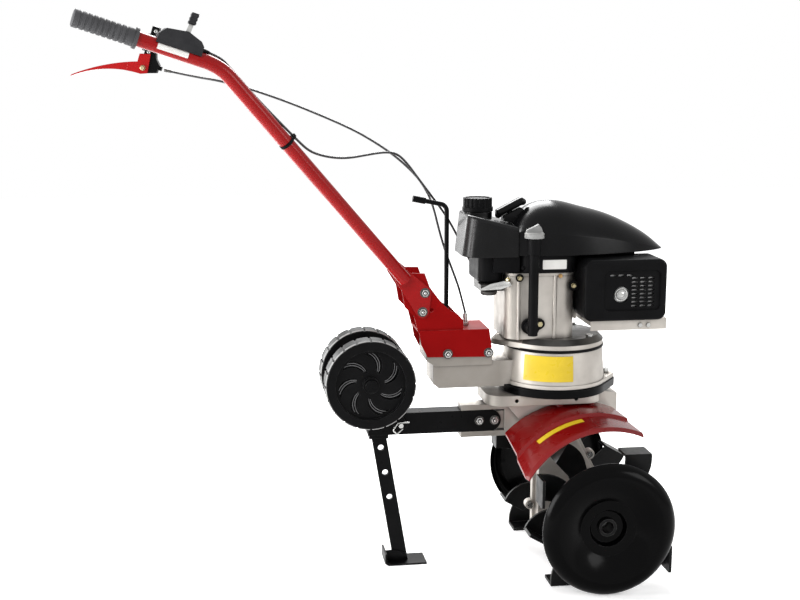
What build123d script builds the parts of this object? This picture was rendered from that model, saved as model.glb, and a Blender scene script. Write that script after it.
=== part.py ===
"""Garden tiller: worm-driven rotor under a vertical-shaft engine, with handlebars and transport wheels.

Millimetres, +Z up, +X forward. The ground is Z = 0, the middle plane of the machine is Y = 0 and its
right side is -Y.
"""

import math
import os

from build123d import *

os.makedirs("parts", exist_ok=True)

# Clearances
running_gap = 0.06
seat_gap = 0.1
moving_gap = 0.5

# Shaft lines
crank_x = 400.0
worm_centre = 60.0

# Rotor
disc_radius = 142.0
disc_wall = 2.5
disc_rim_y = 250.0
disc_bulge = 18.0
disc_well_depth = 36.0
disc_well_radius = 34.0
disc_crest_radius = 112.0
shaft_radius = 12.5
shaft_half_length = 200.0
hub_radius = 19.0
hub_start_y = 42.0
hub_end_y = 240.0
hub_socket_radius = 13.0
hub_flange_radius = 54.0
hub_flange_thickness = 6.0
inner_set_y = 84.0
outer_set_y = 182.0
tine_reach = 177.0
inner_tine_reach = 150.0
tine_thickness = 6.0
tine_tip_width = 52.0
tine_root_width = 42.0
tine_tip_turn = 18.0
tine_tip_taper = 27.0
tines_per_set = 4
outer_set_turn = -37.0
inner_set_turn = 19.0
tine_bolt_radius = 4.0
tine_bolt_pitch = 24.0
tine_bolt_circle = 38.0

# Gear case
case_height = 223.0
case_half_width = 34.0
case_rim = 7.0
case_rim_half_width = 8.0
case_column_half = 36.0
case_ring_radius = 60.0
wheel_radius = 45.0
wheel_half_width = 13.0
worm_radius = 14.5
worm_length = 76.0
worm_shaft_radius = 12.0
worm_foot_radius = 10.0
bearing_wall = 12.0
bearing_width = 14.0
case_flange_length = 256.0
case_flange_width = 150.0
case_flange_height = 23.0
case_flange_shift = -32.0
mount_hole_radius = 4.25
mount_hole_spacing = 132.0
case_screw_radius = 4.0
front_lug_reach = 141.0
front_lug_half_width = 26.0
front_lug_drop = 38.0

# Clutch and bell housing
ring_height = 19.0
ring_radius = 118.0
bell_height = 83.0
bell_top_radius = 107.0
bell_foot_radius = 113.0
bell_wall = 7.0
arm_reach = 275.0
arm_half_width = 42.0
arm_height = 57.0
tongue_height = 68.0
drum_radius = 62.0
drum_wall = 6.0
drum_height = 40.0
clutch_gap = 1.0

# Engine
base_height = 22.0
base_radius = 108.0
base_slope = 11.0
block_height = 143.0
block_length = 152.0
block_width = 150.0
block_shift = -48.0
block_corner = 28.0
crank_radius = 12.5
flywheel_radius = 76.0
flywheel_height = 32.0
blower_height = 36.0
blower_length = 126.0
blower_width = 160.0
cover_cavity_radius = 82.0
cover_cavity_height = 46.0
tank_length = 114.0
tank_draft = 10.0
tank_corner = 42.0
tank_width = 160.0
tank_height = 90.0
tank_slope = 27.0
tank_front = -100.0
neck_radius = 24.0
cap_radius = 33.0
cap_height = 28.0
cap_flange = 8.0
filler_x = -74.5
filler_radius = 10.5
filler_offset = 108.0
filler_height = 222.0
dipstick_radius = 20.5
guard_length = 180.0
guard_height = 131.0
guard_depth = 86.0
guard_wall = 3.0
guard_face_y = -122.0
cylinder_length = 128.0
pull_bar_length = 60.0
pull_bar_radius = 7.5
pull_bar_tilt = 27.0
pull_bar_bow = 5.0
pull_stem = 20.0
guide_half_width = 15.0

# Column bracket
bracket_plate = 4.0
bracket_half_width = 50.0
bracket_neck_half_width = 46.0
column_bolt_back = 20.0
column_bolt_rise = 82.0
column_bolt_arm = 41.0
bracket_bolt_radius = 4.0
bracket_bolt_inset = 30.0
bracket_bolt_pitch = 89.0

# Handlebars
tube_radius = 14.0
tube_wall = 2.0
foot_back = 44.0
foot_rise = 31.0
foot_half_width = 60.0
bar_run = 376.0
bar_rise = 442.0
bar_splay = 162.0
bar_bend_radius = 110.0
grip_run = 262.0
grip_rise = 87.0
grip_splay = 48.0
grip_length = 120.0
grip_radius = 17.0
grip_cap = 5.0
grip_ribs = 9

# Controls, placed by distance along the grip part of a bar
throttle_start = 152.0
throttle_length = 87.0
throttle_half_width = 17.0
throttle_pivot = 204.0
throttle_pivot_height = 24.0
lever_pin_radius = 3.0
perch_start = 120.5
perch_width = 20.0
clutch_pivot = 127.0
clutch_pivot_drop = 56.0
clutch_pin_radius = 4.0
lever_blade_half = 5.5
perch_half_width = 8.5
rod_radius = 5.0
rod_inset = 35.0
rod_height = 262.0
rod_handle_reach = 72.0
rod_handle_rise = 29.0
cable_radius = 2.5

# Drawbar, spur and transport wheels
bar_drop = 44.0
drawbar_height = 48.0
drawbar_width = 40.0
drawbar_wall = 4.0
drawbar_rear = -14.0
drawbar_front = 280.0
yoke_start = 191.0
yoke_end = 288.0
yoke_bolt_x = 232.0
yoke_bolt_pitch = 34.0
spur_width = 32.0
spur_thickness = 8.0
spur_tilt = 9.5
spur_pin_x = 6.5
spur_hole_radius = 6.5
spur_hole_pitch = 57.5
spur_foot_length = 93.0
spur_foot_width = 60.0
spur_foot_thickness = 4.0
carrier_pin_x = 56.0
carrier_pin_radius = 5.0
carrier_arm = 124.0
carrier_arm_angle = 124.5
carrier_plate = 5.0
axle_radius = 8.0
wheel_outer_radius = 97.0
wheel_width = 45.0
wheel_track = 114.0
wheel_blocks = 20
wheel_spokes = 7

# Levels and lines that follow from the sizes above
rotor_x = crank_x + worm_centre
rotor_z = disc_radius
flange_bottom = rotor_z + case_height
flange_top = flange_bottom + case_flange_height
ring_top = flange_top + ring_height
bell_top = ring_top + bell_height
base_top = bell_top + base_height
block_top = base_top + block_height
blower_top = block_top + blower_height
tank_bottom = blower_top - 1.0
arm_bottom = ring_top - 4.0
arm_top = arm_bottom + arm_height
shelf_top = arm_top + tongue_height + bracket_plate
column_bolt_z = shelf_top + column_bolt_rise
bracket_bolt_z = arm_top + 20.0
drawbar_z = flange_bottom - bar_drop
filler_top = base_top + filler_height
cover_bottom = blower_top + 2.0
arm_end = crank_x - arm_reach
column_bolt_x = arm_end - column_bolt_back
bracket_bolt_rear = arm_end + bracket_bolt_inset
rod_x = arm_end + rod_inset
block_x = crank_x + block_shift
block_front = block_x + block_length / 2
tank_front_x = crank_x + tank_front
axle_x = carrier_pin_x + carrier_arm * math.cos(math.radians(carrier_arm_angle))
axle_z = drawbar_z + carrier_arm * math.sin(math.radians(carrier_arm_angle))


def at_y(y):
    """Upright plane at a given Y: local x is forward, local y is up, extrusions go to the right."""
    return Plane.XZ.offset(-y)


def turned(x, y, z, angle):
    """Upright plane through a point, with local x turned up from forward by an angle in degrees."""
    turn = math.radians(angle)
    return Plane(origin=(x, y, z), x_dir=(math.cos(turn), 0, math.sin(turn)), z_dir=(0, -1, 0))


def save(piece, name):
    """Label a finished piece and write its file."""
    piece.part.label = name
    export_step(piece.part, f"parts/{name}.step")


def hex_bolt(plane, shank_radius, shank_length, head_height=5.0):
    """Hexagon bolt whose head sits on a plane, with its shank running back through it."""
    with BuildPart() as bolt:
        with BuildSketch(plane):
            RegularPolygon(shank_radius * 1.7, 6, major_radius=False)
        extrude(amount=head_height)
        if shank_length > 0:
            with BuildSketch(plane):
                Circle(shank_radius)
            extrude(amount=-shank_length)
    return bolt.part


def mirrored(piece):
    """The left-hand twin of a right-hand piece."""
    with BuildPart() as twin:
        mirror(piece.part, about=Plane.XZ)
    return twin


def cable(points, radius):
    """Tube along straight runs joined by arcs as large as the runs allow."""
    route = [Vector(*point) for point in points]
    radii = []
    for before, corner, after in zip(route, route[1:], route[2:]):
        turn = (corner - before).get_angle(after - corner)
        run = min((corner - before).length, (after - corner).length)
        radii.append(0.45 * run / math.tan(math.radians(turn) / 2))
    with BuildPart() as tube:
        with BuildLine() as path:
            FilletPolyline(*route, radius=radii)
        with BuildSketch(Plane(origin=path.line @ 0, z_dir=path.line % 0)):
            Circle(radius)
        sweep(path=path.line)
    length = path.wire().length
    section = math.pi * radius**2
    print("cable radii", [round(value) for value in radii], "length", round(length))
    print("cable volume share", round(tube.part.volume / (section * length), 3))
    return tube


# Rotor shaft and worm wheel
rotor_axis = Axis((rotor_x, 0, rotor_z), (0, 1, 0))
rotor_plane = Plane(origin=(rotor_x, 0, rotor_z), x_dir=(0, 1, 0), z_dir=(1, 0, 0))

with BuildPart() as rotor_shaft:
    with BuildSketch(at_y(shaft_half_length)):
        with Locations((rotor_x, rotor_z)):
            Circle(shaft_radius)
    extrude(amount=2 * shaft_half_length)
    chamfer(rotor_shaft.edges().filter_by(GeomType.CIRCLE), length=1.5)
save(rotor_shaft, "rotor_shaft")

worm_wheel_teeth = 24
with BuildPart() as worm_wheel:
    with BuildSketch(at_y(wheel_half_width)):
        with Locations((rotor_x, rotor_z)):
            Circle(wheel_radius)
            with PolarLocations(wheel_radius, worm_wheel_teeth):
                Circle(wheel_radius * math.pi / worm_wheel_teeth / 2, mode=Mode.SUBTRACT)
            Circle(shaft_radius + seat_gap, mode=Mode.SUBTRACT)
    extrude(amount=2 * wheel_half_width)
    with BuildSketch(at_y(wheel_half_width + 2.0)):
        with Locations((rotor_x, rotor_z)):
            Circle(hub_radius + 1.0)
            Circle(shaft_radius + seat_gap, mode=Mode.SUBTRACT)
    extrude(amount=2 * wheel_half_width + 4.0)
save(worm_wheel, "worm_wheel")

# Tine hubs: a tube with two flanges, open at the outer end for an extension shaft
tine_sets = (
    (inner_set_y, inner_set_turn, inner_tine_reach),
    (outer_set_y, outer_set_turn, tine_reach),
)
tine_bolt_spots = ((tine_bolt_circle, -tine_bolt_pitch / 2), (tine_bolt_circle, tine_bolt_pitch / 2))
with BuildPart() as tine_hub_right:
    with BuildSketch(at_y(-hub_start_y)):
        with Locations((rotor_x, rotor_z)):
            Circle(hub_radius)
    extrude(amount=hub_end_y - hub_start_y)
    for set_y in (inner_set_y, outer_set_y):
        with BuildSketch(at_y(-set_y)):
            with Locations((rotor_x, rotor_z)):
                Circle(hub_flange_radius)
        extrude(amount=hub_flange_thickness)
    with BuildSketch(at_y(-hub_start_y)):
        with Locations((rotor_x, rotor_z)):
            Circle(shaft_radius + seat_gap)
    extrude(amount=hub_end_y - hub_start_y, mode=Mode.SUBTRACT)
    with BuildSketch(at_y(-shaft_half_length)):
        with Locations((rotor_x, rotor_z)):
            Circle(hub_socket_radius)
    extrude(amount=hub_end_y - shaft_half_length, mode=Mode.SUBTRACT)
    for set_y, set_turn, reach in tine_sets:
        for step in range(tines_per_set):
            with BuildSketch(turned(rotor_x, -set_y, rotor_z, set_turn + step * 360 / tines_per_set)):
                with Locations(*tine_bolt_spots):
                    Circle(tine_bolt_radius + seat_gap)
            extrude(amount=hub_flange_thickness, mode=Mode.SUBTRACT)
save(tine_hub_right, "tine_hub_right")
tine_hub_left = mirrored(tine_hub_right)
save(tine_hub_left, "tine_hub_left")


def tine(set_y, turn, reach, bend_out):
    """One hoe tine of the right side: a curved flat blade with its tip bent square to the blade."""
    root = hub_radius + 3.0
    half = tine_root_width / 2
    tip_turn = math.radians(tine_tip_turn)
    tail_reach = reach - tine_tip_taper
    lead = Vector(reach, 0)
    tail = Vector(tail_reach * math.cos(tip_turn), tail_reach * math.sin(tip_turn))
    inward = (tail - lead).normalized().rotate(Axis.Z, 90) * tine_thickness
    blade_face = -set_y - hub_flange_thickness
    plane = turned(rotor_x, blade_face, rotor_z, turn)
    tip_plane = plane if bend_out else plane.offset(tine_thickness - tine_tip_width)
    with BuildPart() as blade:
        with BuildSketch(plane):
            with BuildLine():
                Line((root, half), (root, -half))
                Line((root, -half), (reach * 0.6, -half - 2.0))
                ThreePointArc((reach * 0.6, -half - 2.0), (reach * 0.84, -half + 3.0), lead)
                Line(lead, tail)
                ThreePointArc(tail, (tail_reach * 0.78, half + 8.0), (reach * 0.52, half))
                Line((reach * 0.52, half), (root, half))
            make_face()
        extrude(amount=tine_thickness)
        with BuildSketch(tip_plane):
            Polygon(lead, tail, tail + inward, lead + inward, align=None)
        extrude(amount=tine_tip_width)
        with BuildSketch(plane):
            with Locations(*tine_bolt_spots):
                Circle(tine_bolt_radius + seat_gap)
        extrude(amount=tine_thickness, mode=Mode.SUBTRACT)
    return blade.part


with BuildPart() as tines_right:
    for set_y, set_turn, reach in tine_sets:
        for step in range(tines_per_set):
            add(tine(set_y, set_turn + step * 360 / tines_per_set, reach, step % 2 == 0))
save(tines_right, "tines_right")
tines_left = mirrored(tines_right)
save(tines_left, "tines_left")

# Tine bolts, heads on the blades and nuts on the flanges
with BuildPart() as tine_bolts_right:
    for set_y, set_turn, reach in tine_sets:
        for step in range(tines_per_set):
            for along, across in tine_bolt_spots:
                plane = turned(rotor_x, -set_y - hub_flange_thickness - tine_thickness, rotor_z,
                               set_turn + step * 360 / tines_per_set)
                spot = plane.from_local_coords((along, across, 0))
                bolt_plane = Plane(origin=spot, x_dir=plane.x_dir, z_dir=plane.z_dir)
                add(hex_bolt(bolt_plane, tine_bolt_radius, hub_flange_thickness + tine_thickness + 2.0))
with BuildPart() as tine_bolts:
    add(tine_bolts_right.part)
    mirror(tine_bolts_right.part, about=Plane.XZ)
save(tine_bolts, "tine_bolts")

# Dished guard discs on the hub ends
disc_crest_y = disc_rim_y + disc_bulge
disc_floor_y = disc_crest_y - disc_well_depth
with BuildPart() as guard_disc_right:
    with BuildSketch(rotor_plane):
        with BuildLine():
            for shift in (0.0, disc_wall):
                well = (-disc_floor_y + shift, disc_well_radius)
                dish = (-disc_floor_y - 11.0 + shift, disc_well_radius + 6.0)
                floor = (-disc_floor_y - 13.0 + shift, disc_well_radius + 26.0)
                crest = (-disc_crest_y + shift, disc_crest_radius)
                rim = (-disc_rim_y + shift, disc_radius)
                slope = (-disc_crest_y + 8.0 + shift, (disc_well_radius + 26.0 + disc_crest_radius) / 2)
                shoulder = (-disc_crest_y + 4.0 + shift, (disc_crest_radius + disc_radius) / 2 + 3.0)
                Line((-disc_floor_y + shift, hub_radius + seat_gap), well)
                Line(well, dish)
                Line(dish, floor)
                ThreePointArc(floor, slope, crest)
                ThreePointArc(crest, shoulder, rim)
            Line((-disc_floor_y, hub_radius + seat_gap), (-disc_floor_y + disc_wall, hub_radius + seat_gap))
            Line((-disc_rim_y, disc_radius), (-disc_rim_y + disc_wall, disc_radius))
        make_face()
    revolve(axis=rotor_axis)
save(guard_disc_right, "guard_disc_right")
guard_disc_left = mirrored(guard_disc_right)
save(guard_disc_left, "guard_disc_left")

# Worm shaft with its worm and the clutch drum on its top
worm_bottom = rotor_z - worm_length / 2
worm_foot = worm_bottom - bearing_width + 2.0
drum_bottom = ring_top + 6.0
crank_axis = Axis((crank_x, 0, 0), (0, 0, 1))
crank_plane = Plane(origin=(crank_x, 0, 0), x_dir=(1, 0, 0), z_dir=(0, -1, 0))
worm_pitch = 9.5
worm_turns = int(worm_length / worm_pitch)
with BuildPart() as worm_shaft:
    with BuildSketch(crank_plane):
        with BuildLine():
            outline = [(0, worm_foot), (worm_foot_radius, worm_foot), (worm_foot_radius, worm_bottom)]
            for turn in range(worm_turns):
                tooth = worm_bottom + turn * worm_pitch
                outline.append((worm_radius - 5.0, tooth))
                outline.append((worm_radius, tooth + worm_pitch * 0.3))
                outline.append((worm_radius, tooth + worm_pitch * 0.7))
            outline.append((worm_shaft_radius - 1.0, worm_bottom + worm_turns * worm_pitch))
            outline.append((worm_shaft_radius, worm_bottom + worm_turns * worm_pitch + 3.0))
            outline.append((worm_shaft_radius, drum_bottom + drum_wall))
            outline.append((0, drum_bottom + drum_wall))
            Polyline(*outline, close=True)
        make_face()
    revolve(axis=crank_axis)
save(worm_shaft, "worm_shaft")

with BuildPart() as clutch_drum:
    with Locations((crank_x, 0, drum_bottom)):
        Cylinder(drum_radius, drum_height, align=(Align.CENTER, Align.CENTER, Align.MIN))
    with Locations((crank_x, 0, drum_bottom + drum_wall)):
        Cylinder(drum_radius - drum_wall, drum_height, align=(Align.CENTER, Align.CENTER, Align.MIN),
                 mode=Mode.SUBTRACT)
    with Locations((crank_x, 0, drum_bottom)):
        Cylinder(worm_shaft_radius + seat_gap, drum_wall, align=(Align.CENTER, Align.CENTER, Align.MIN),
                 mode=Mode.SUBTRACT)
save(clutch_drum, "clutch_drum")

# Bearings of the rotor shaft and the worm shaft
rotor_bearing_radius = shaft_radius + bearing_wall
worm_bearing_radius = worm_shaft_radius + bearing_wall
foot_bearing_radius = worm_foot_radius + bearing_wall
rotor_bearing_y = case_half_width - bearing_width - 1.0
with BuildPart() as shaft_bearings:
    for inner_y in (rotor_bearing_y, -rotor_bearing_y - bearing_width):
        with BuildSketch(at_y(inner_y + bearing_width)):
            with Locations((rotor_x, rotor_z)):
                Circle(rotor_bearing_radius)
                Circle(shaft_radius + running_gap, mode=Mode.SUBTRACT)
        extrude(amount=bearing_width)
    with BuildSketch(Plane.XY.offset(flange_bottom + 4.0)):
        with Locations((crank_x, 0)):
            Circle(worm_bearing_radius)
            Circle(worm_shaft_radius + running_gap, mode=Mode.SUBTRACT)
    extrude(amount=bearing_width)
    with BuildSketch(Plane.XY.offset(worm_foot)):
        with Locations((crank_x, 0)):
            Circle(foot_bearing_radius)
            Circle(worm_foot_radius + running_gap, mode=Mode.SUBTRACT)
    extrude(amount=bearing_width - 4.0)
save(shaft_bearings, "shaft_bearings")

# Gear case, made whole and then split into its right and left halves
flange_x = crank_x + case_flange_shift
column_bottom = worm_foot - 8.0
yoke_half_height = drawbar_height / 2 - drawbar_wall - seat_gap
yoke_half_width = drawbar_width / 2 - drawbar_wall - seat_gap
lip_height = 12.0
screw_out = case_rim + 4.0
case_screws = [
    (crank_x - case_column_half - screw_out, rotor_z - 24.0),
    (crank_x - case_column_half - screw_out, rotor_z + 80.0),
    (crank_x + case_column_half + 52.0, rotor_z + 87.0),
    (rotor_x + case_ring_radius + screw_out, rotor_z + 6.0),
    (rotor_x + 12.0, rotor_z - case_ring_radius - screw_out),
]
with BuildPart() as gear_case:
    for half_width, rim in ((case_half_width, 0.0), (case_rim_half_width, case_rim)):
        with BuildSketch(at_y(half_width)) as case_outline:
            with Locations((crank_x, (column_bottom + flange_bottom) / 2)):
                Rectangle(2 * (case_column_half + rim), flange_bottom - column_bottom + 2 * rim)
            with Locations((rotor_x, rotor_z)):
                Circle(case_ring_radius + rim)
            with BuildLine():
                Polyline(
                    (crank_x, flange_bottom),
                    (crank_x + case_column_half + rim, flange_bottom - 60.0 + rim),
                    (rotor_x + case_ring_radius + rim, rotor_z),
                    (rotor_x, rotor_z - case_ring_radius - rim),
                    (crank_x, column_bottom - rim),
                    close=True,
                )
            make_face()
            with BuildLine():
                Polyline(
                    (crank_x - 116.0, flange_bottom),
                    (crank_x - case_column_half, flange_bottom - 96.0),
                    (crank_x + case_column_half, flange_bottom - 84.0),
                    (crank_x + 100.0, flange_bottom),
                    close=True,
                )
            make_face()
            if rim:
                with Locations(*case_screws):
                    Circle(11.0)
        extrude(amount=2 * half_width)
    with BuildSketch(Plane.XY.offset(flange_bottom)):
        with Locations((flange_x, 0)):
            RectangleRounded(case_flange_length, case_flange_width, 40)
    extrude(amount=case_flange_height)
    with BuildSketch(at_y(front_lug_half_width)):
        with BuildLine():
            Polyline(
                (crank_x + 60.0, flange_top),
                (crank_x + front_lug_reach, flange_top - 14.0),
                (crank_x + front_lug_reach, flange_bottom - front_lug_drop),
                (crank_x + front_lug_reach - 36.0, flange_bottom - front_lug_drop),
                (crank_x + 60.0, flange_bottom - 30.0),
                close=True,
            )
        make_face()
    extrude(amount=2 * front_lug_half_width)
    with BuildSketch(at_y(yoke_half_width)):
        with BuildLine():
            Polyline(
                (yoke_start, drawbar_z + yoke_half_height),
                (crank_x, drawbar_z + yoke_half_height),
                (crank_x, drawbar_z - yoke_half_height),
                (yoke_start, drawbar_z - yoke_half_height),
                close=True,
            )
        make_face()
    extrude(amount=2 * yoke_half_width)
    for lip_bottom in (drawbar_height / 2 + seat_gap, -drawbar_height / 2 - seat_gap - lip_height):
        with BuildSketch(at_y(drawbar_width / 2)):
            with Locations(((yoke_start + crank_x) / 2, drawbar_z + lip_bottom + lip_height / 2)):
                Rectangle(crank_x - yoke_start, lip_height)
        extrude(amount=drawbar_width)
    with BuildSketch(at_y(drawbar_width / 2)):
        with Locations(((yoke_end + crank_x) / 2, drawbar_z)):
            Rectangle(crank_x - yoke_end, drawbar_height + 2 * lip_height)
    extrude(amount=drawbar_width)
    # Cavities for the worm, the wheel and the bearings
    with BuildSketch(Plane.XY.offset(worm_bottom - 2.0)):
        with Locations((crank_x, 0)):
            Circle(worm_radius + 2.0)
    extrude(amount=flange_top - worm_bottom + 2.0, mode=Mode.SUBTRACT)
    with BuildSketch(Plane.XY.offset(worm_foot)):
        with Locations((crank_x, 0)):
            Circle(foot_bearing_radius)
    extrude(amount=bearing_width - 4.0, mode=Mode.SUBTRACT)
    with BuildSketch(Plane.XY.offset(flange_bottom + 4.0)):
        with Locations((crank_x, 0)):
            Circle(worm_bearing_radius)
    extrude(amount=case_flange_height, mode=Mode.SUBTRACT)
    with BuildSketch(at_y(wheel_half_width + 3.0)):
        with Locations((rotor_x, rotor_z)):
            Circle(wheel_radius + 2.0)
    extrude(amount=2 * wheel_half_width + 6.0, mode=Mode.SUBTRACT)
    with BuildSketch(at_y(case_half_width)):
        with Locations((rotor_x, rotor_z)):
            Circle(rotor_bearing_radius)
    extrude(amount=2 * case_half_width, mode=Mode.SUBTRACT)
    # Screw holes, yoke bolt holes and the accessory holes across the flange
    with BuildSketch(at_y(case_half_width)):
        with Locations(*case_screws):
            Circle(case_screw_radius + seat_gap)
        with Locations((yoke_bolt_x, drawbar_z), (yoke_bolt_x + yoke_bolt_pitch, drawbar_z)):
            Circle(bracket_bolt_radius + seat_gap)
    extrude(amount=2 * case_half_width, mode=Mode.SUBTRACT)
    with BuildSketch(at_y(case_flange_width / 2)):
        with Locations((flange_x, flange_bottom + case_flange_height / 2)):
            with GridLocations(mount_hole_spacing, 0, 2, 1):
                Circle(mount_hole_radius)
    extrude(amount=case_flange_width, mode=Mode.SUBTRACT)

with BuildPart() as gear_case_right:
    add(gear_case.part)
    split(bisect_by=Plane.XZ, keep=Keep.TOP)
save(gear_case_right, "gear_case_right")
with BuildPart() as gear_case_left:
    add(gear_case.part)
    split(bisect_by=Plane.XZ, keep=Keep.BOTTOM)
save(gear_case_left, "gear_case_left")

with BuildPart() as gear_case_screws:
    for screw_x, screw_z in case_screws:
        head_plane = turned(screw_x, -case_rim_half_width, screw_z, 0)
        add(hex_bolt(head_plane, case_screw_radius, 2 * case_rim_half_width + 1.0))
save(gear_case_screws, "gear_case_screws")

# Fenders: a stepped band around a yawed axis, cut straight at both ends, on two pads under the case flange
fender_crown = case_height - 3.0
fender_wall = 3.0
fender_inner_y = case_half_width + 4.0
fender_step_y = 128.0
fender_edge_y = 212.0
fender_front = 58.0
fender_rear = 148.0
fender_axis_back = 20.0
fender_yaw = math.atan(0.1)
fender_profile = [
    (fender_inner_y - 20.0, fender_crown + 0.5),
    (fender_step_y, fender_crown - 4.0),
    (fender_step_y + 5.0, fender_crown - 10.0),
    (fender_edge_y - 7.0, fender_crown - 14.0),
    (fender_edge_y, fender_crown - 19.0),
]
fender_plan = [
    (rotor_x - 174.0, -fender_inner_y),
    (rotor_x + 66.0, -fender_inner_y),
    (rotor_x + 88.0, -fender_edge_y - 30.0),
    (rotor_x - 172.0, -fender_edge_y - 30.0),
]
fender_origin = Vector(rotor_x - fender_axis_back, 0, rotor_z)
fender_out = Vector(math.sin(fender_yaw), -math.cos(fender_yaw), 0)
fender_ahead = Vector(math.cos(fender_yaw), math.sin(fender_yaw), 0)
fender_start = math.radians(fender_front)
fender_radial = fender_ahead * math.cos(fender_start) + Vector(0, 0, math.sin(fender_start))
pad_spots = ((crank_x + 4.0, -52.0), (crank_x + 72.0, -52.0))
with BuildPart() as fender_right:
    with BuildSketch(Plane(origin=fender_origin, x_dir=fender_out, z_dir=fender_out.cross(fender_radial))):
        with BuildLine():
            outer = [(y, radius) for y, radius in fender_profile]
            inner = [(y, radius - fender_wall) for y, radius in reversed(fender_profile)]
            Polyline(*outer, *inner, close=True)
        make_face()
    revolve(axis=Axis(fender_origin, fender_out), revolution_arc=fender_rear - fender_front)
    with BuildSketch(Plane.XY.offset(rotor_z)):
        Polygon(*fender_plan, align=None)
    extrude(amount=case_height, mode=Mode.INTERSECT)
    with BuildSketch(Plane.XY.offset(flange_bottom)):
        with Locations(*pad_spots):
            Circle(9.0)
    extrude(amount=-(flange_bottom - rotor_z - fender_crown + 6.0))
save(fender_right, "fender_right")
fender_left = mirrored(fender_right)
save(fender_left, "fender_left")

# Ring between the gear case and the bell housing, with a lug to the front
lug_x = crank_x + front_lug_reach - 20.0
with BuildPart() as bell_ring:
    with BuildSketch(Plane.XY.offset(flange_top)):
        with BuildSketch(mode=Mode.PRIVATE) as ring_outline:
            with Locations((crank_x, 0)):
                Circle(ring_radius)
            with Locations((lug_x, 0)):
                Circle(20.0)
        make_hull(ring_outline.sketch.edges())
        with Locations((crank_x, 0)):
            Circle(worm_bearing_radius + 16.0, mode=Mode.SUBTRACT)
    extrude(amount=ring_height)
    chamfer(bell_ring.faces().sort_by(Axis.Z)[-1].outer_wire().edges(), length=2.5)
    with Locations((lug_x, 0, flange_top)):
        Cylinder(case_screw_radius + seat_gap, 3 * ring_height, mode=Mode.SUBTRACT)
save(bell_ring, "bell_ring")

# Bell housing around the clutch, with the rear arm and the tongue that carries the column bracket
tongue_half_width = bracket_half_width - bracket_plate - seat_gap
tongue_rear = bracket_bolt_rear - 46.0
tongue_front = bracket_bolt_rear + bracket_bolt_pitch + 9.0
tongue_top = shelf_top - bracket_plate - seat_gap
bell_lug_height = 8.0
bracket_bolt_spots = (
    (bracket_bolt_rear, bracket_bolt_z),
    (bracket_bolt_rear + bracket_bolt_pitch, bracket_bolt_z),
)
with BuildPart() as bell_housing:
    with Locations((crank_x, 0, ring_top)):
        Cone(bell_foot_radius, bell_top_radius, bell_height, align=(Align.CENTER, Align.CENTER, Align.MIN))
    with BuildSketch(Plane.XY.offset(ring_top)):
        with BuildSketch(mode=Mode.PRIVATE) as lug_outline:
            with Locations((crank_x, 0)):
                Circle(ring_radius - 3.0)
            with Locations((lug_x, 0)):
                Circle(18.0)
        make_hull(lug_outline.sketch.edges())
    extrude(amount=bell_lug_height)
    with BuildSketch(at_y(arm_half_width)):
        with BuildLine():
            Polyline(
                (arm_end, arm_top),
                (arm_end, arm_bottom + 10.0),
                (arm_end + 12.0, arm_bottom),
                (crank_x - ring_radius - 1.0, arm_bottom),
                (crank_x - ring_radius - 1.0, ring_top),
                (crank_x, ring_top),
                (crank_x, arm_top),
                close=True,
            )
        make_face()
    extrude(amount=2 * arm_half_width)
    with BuildSketch(at_y(tongue_half_width)):
        with BuildLine():
            Polyline(
                (tongue_rear, arm_top + 6.0),
                (tongue_rear + 20.0, arm_top - 8.0),
                (tongue_front, arm_top - 8.0),
                (tongue_front, arm_top + 26.0),
                (tongue_front - 24.0, tongue_top),
                (tongue_rear, tongue_top),
                close=True,
            )
        make_face()
    extrude(amount=2 * tongue_half_width)
    with Locations((crank_x, 0, ring_top)):
        Cylinder(bell_top_radius - bell_wall, bell_height - 10.0,
                 align=(Align.CENTER, Align.CENTER, Align.MIN), mode=Mode.SUBTRACT)
        Cylinder(crank_radius + 10.0, 2 * bell_height, mode=Mode.SUBTRACT)
    with Locations((lug_x, 0, ring_top)):
        Cylinder(case_screw_radius + seat_gap, 3 * ring_height, mode=Mode.SUBTRACT)
    with BuildSketch(at_y(tongue_half_width)):
        with Locations(*bracket_bolt_spots):
            Circle(bracket_bolt_radius + seat_gap)
    extrude(amount=2 * tongue_half_width, mode=Mode.SUBTRACT)
    with BuildSketch(Plane.XY.offset(tongue_top)):
        with Locations((rod_x, 0)):
            Circle(rod_radius + running_gap)
    extrude(amount=-30.0, mode=Mode.SUBTRACT)
save(bell_housing, "bell_housing")

# Column bracket: shelf over the tongue, side plates down to its bolts and up to the handlebars
column_spots = ((column_bolt_x, column_bolt_z), (column_bolt_x - 5.0, column_bolt_z - column_bolt_arm))
spare_spots = ((column_bolt_x - 21.0, column_bolt_z - 34.0), (column_bolt_x + 15.0, column_bolt_z - 38.0))
neck_outline = [
    (column_bolt_x - 27.0, column_bolt_z + 42.0),
    (column_bolt_x, column_bolt_z + 41.0),
    (column_bolt_x + 11.0, column_bolt_z + 11.0),
    (column_bolt_x + 39.0, column_bolt_z - 26.0),
    (column_bolt_x + 55.0, column_bolt_z - 40.0),
    (column_bolt_x + 70.0, column_bolt_z - 47.0),
    (column_bolt_x + 84.0, column_bolt_z - 62.0),
    (column_bolt_x + 84.0, shelf_top - bracket_plate),
    (column_bolt_x - 14.0, shelf_top - bracket_plate),
    (column_bolt_x - 23.0, column_bolt_z - 50.0),
    (column_bolt_x - 43.0, column_bolt_z - 30.0),
    (column_bolt_x - 50.0, column_bolt_z + 12.0),
]
skirt_outline = [
    (tongue_rear - 17.0, shelf_top),
    (tongue_front - 8.0, shelf_top),
    (tongue_front - 2.0, bracket_bolt_z + 14.0),
    (tongue_front - 19.0 + 14.0, bracket_bolt_z - 9.0),
    (tongue_rear + 2.0, bracket_bolt_z - 6.0),
    (tongue_rear - 12.0, shelf_top - 30.0),
]
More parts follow.
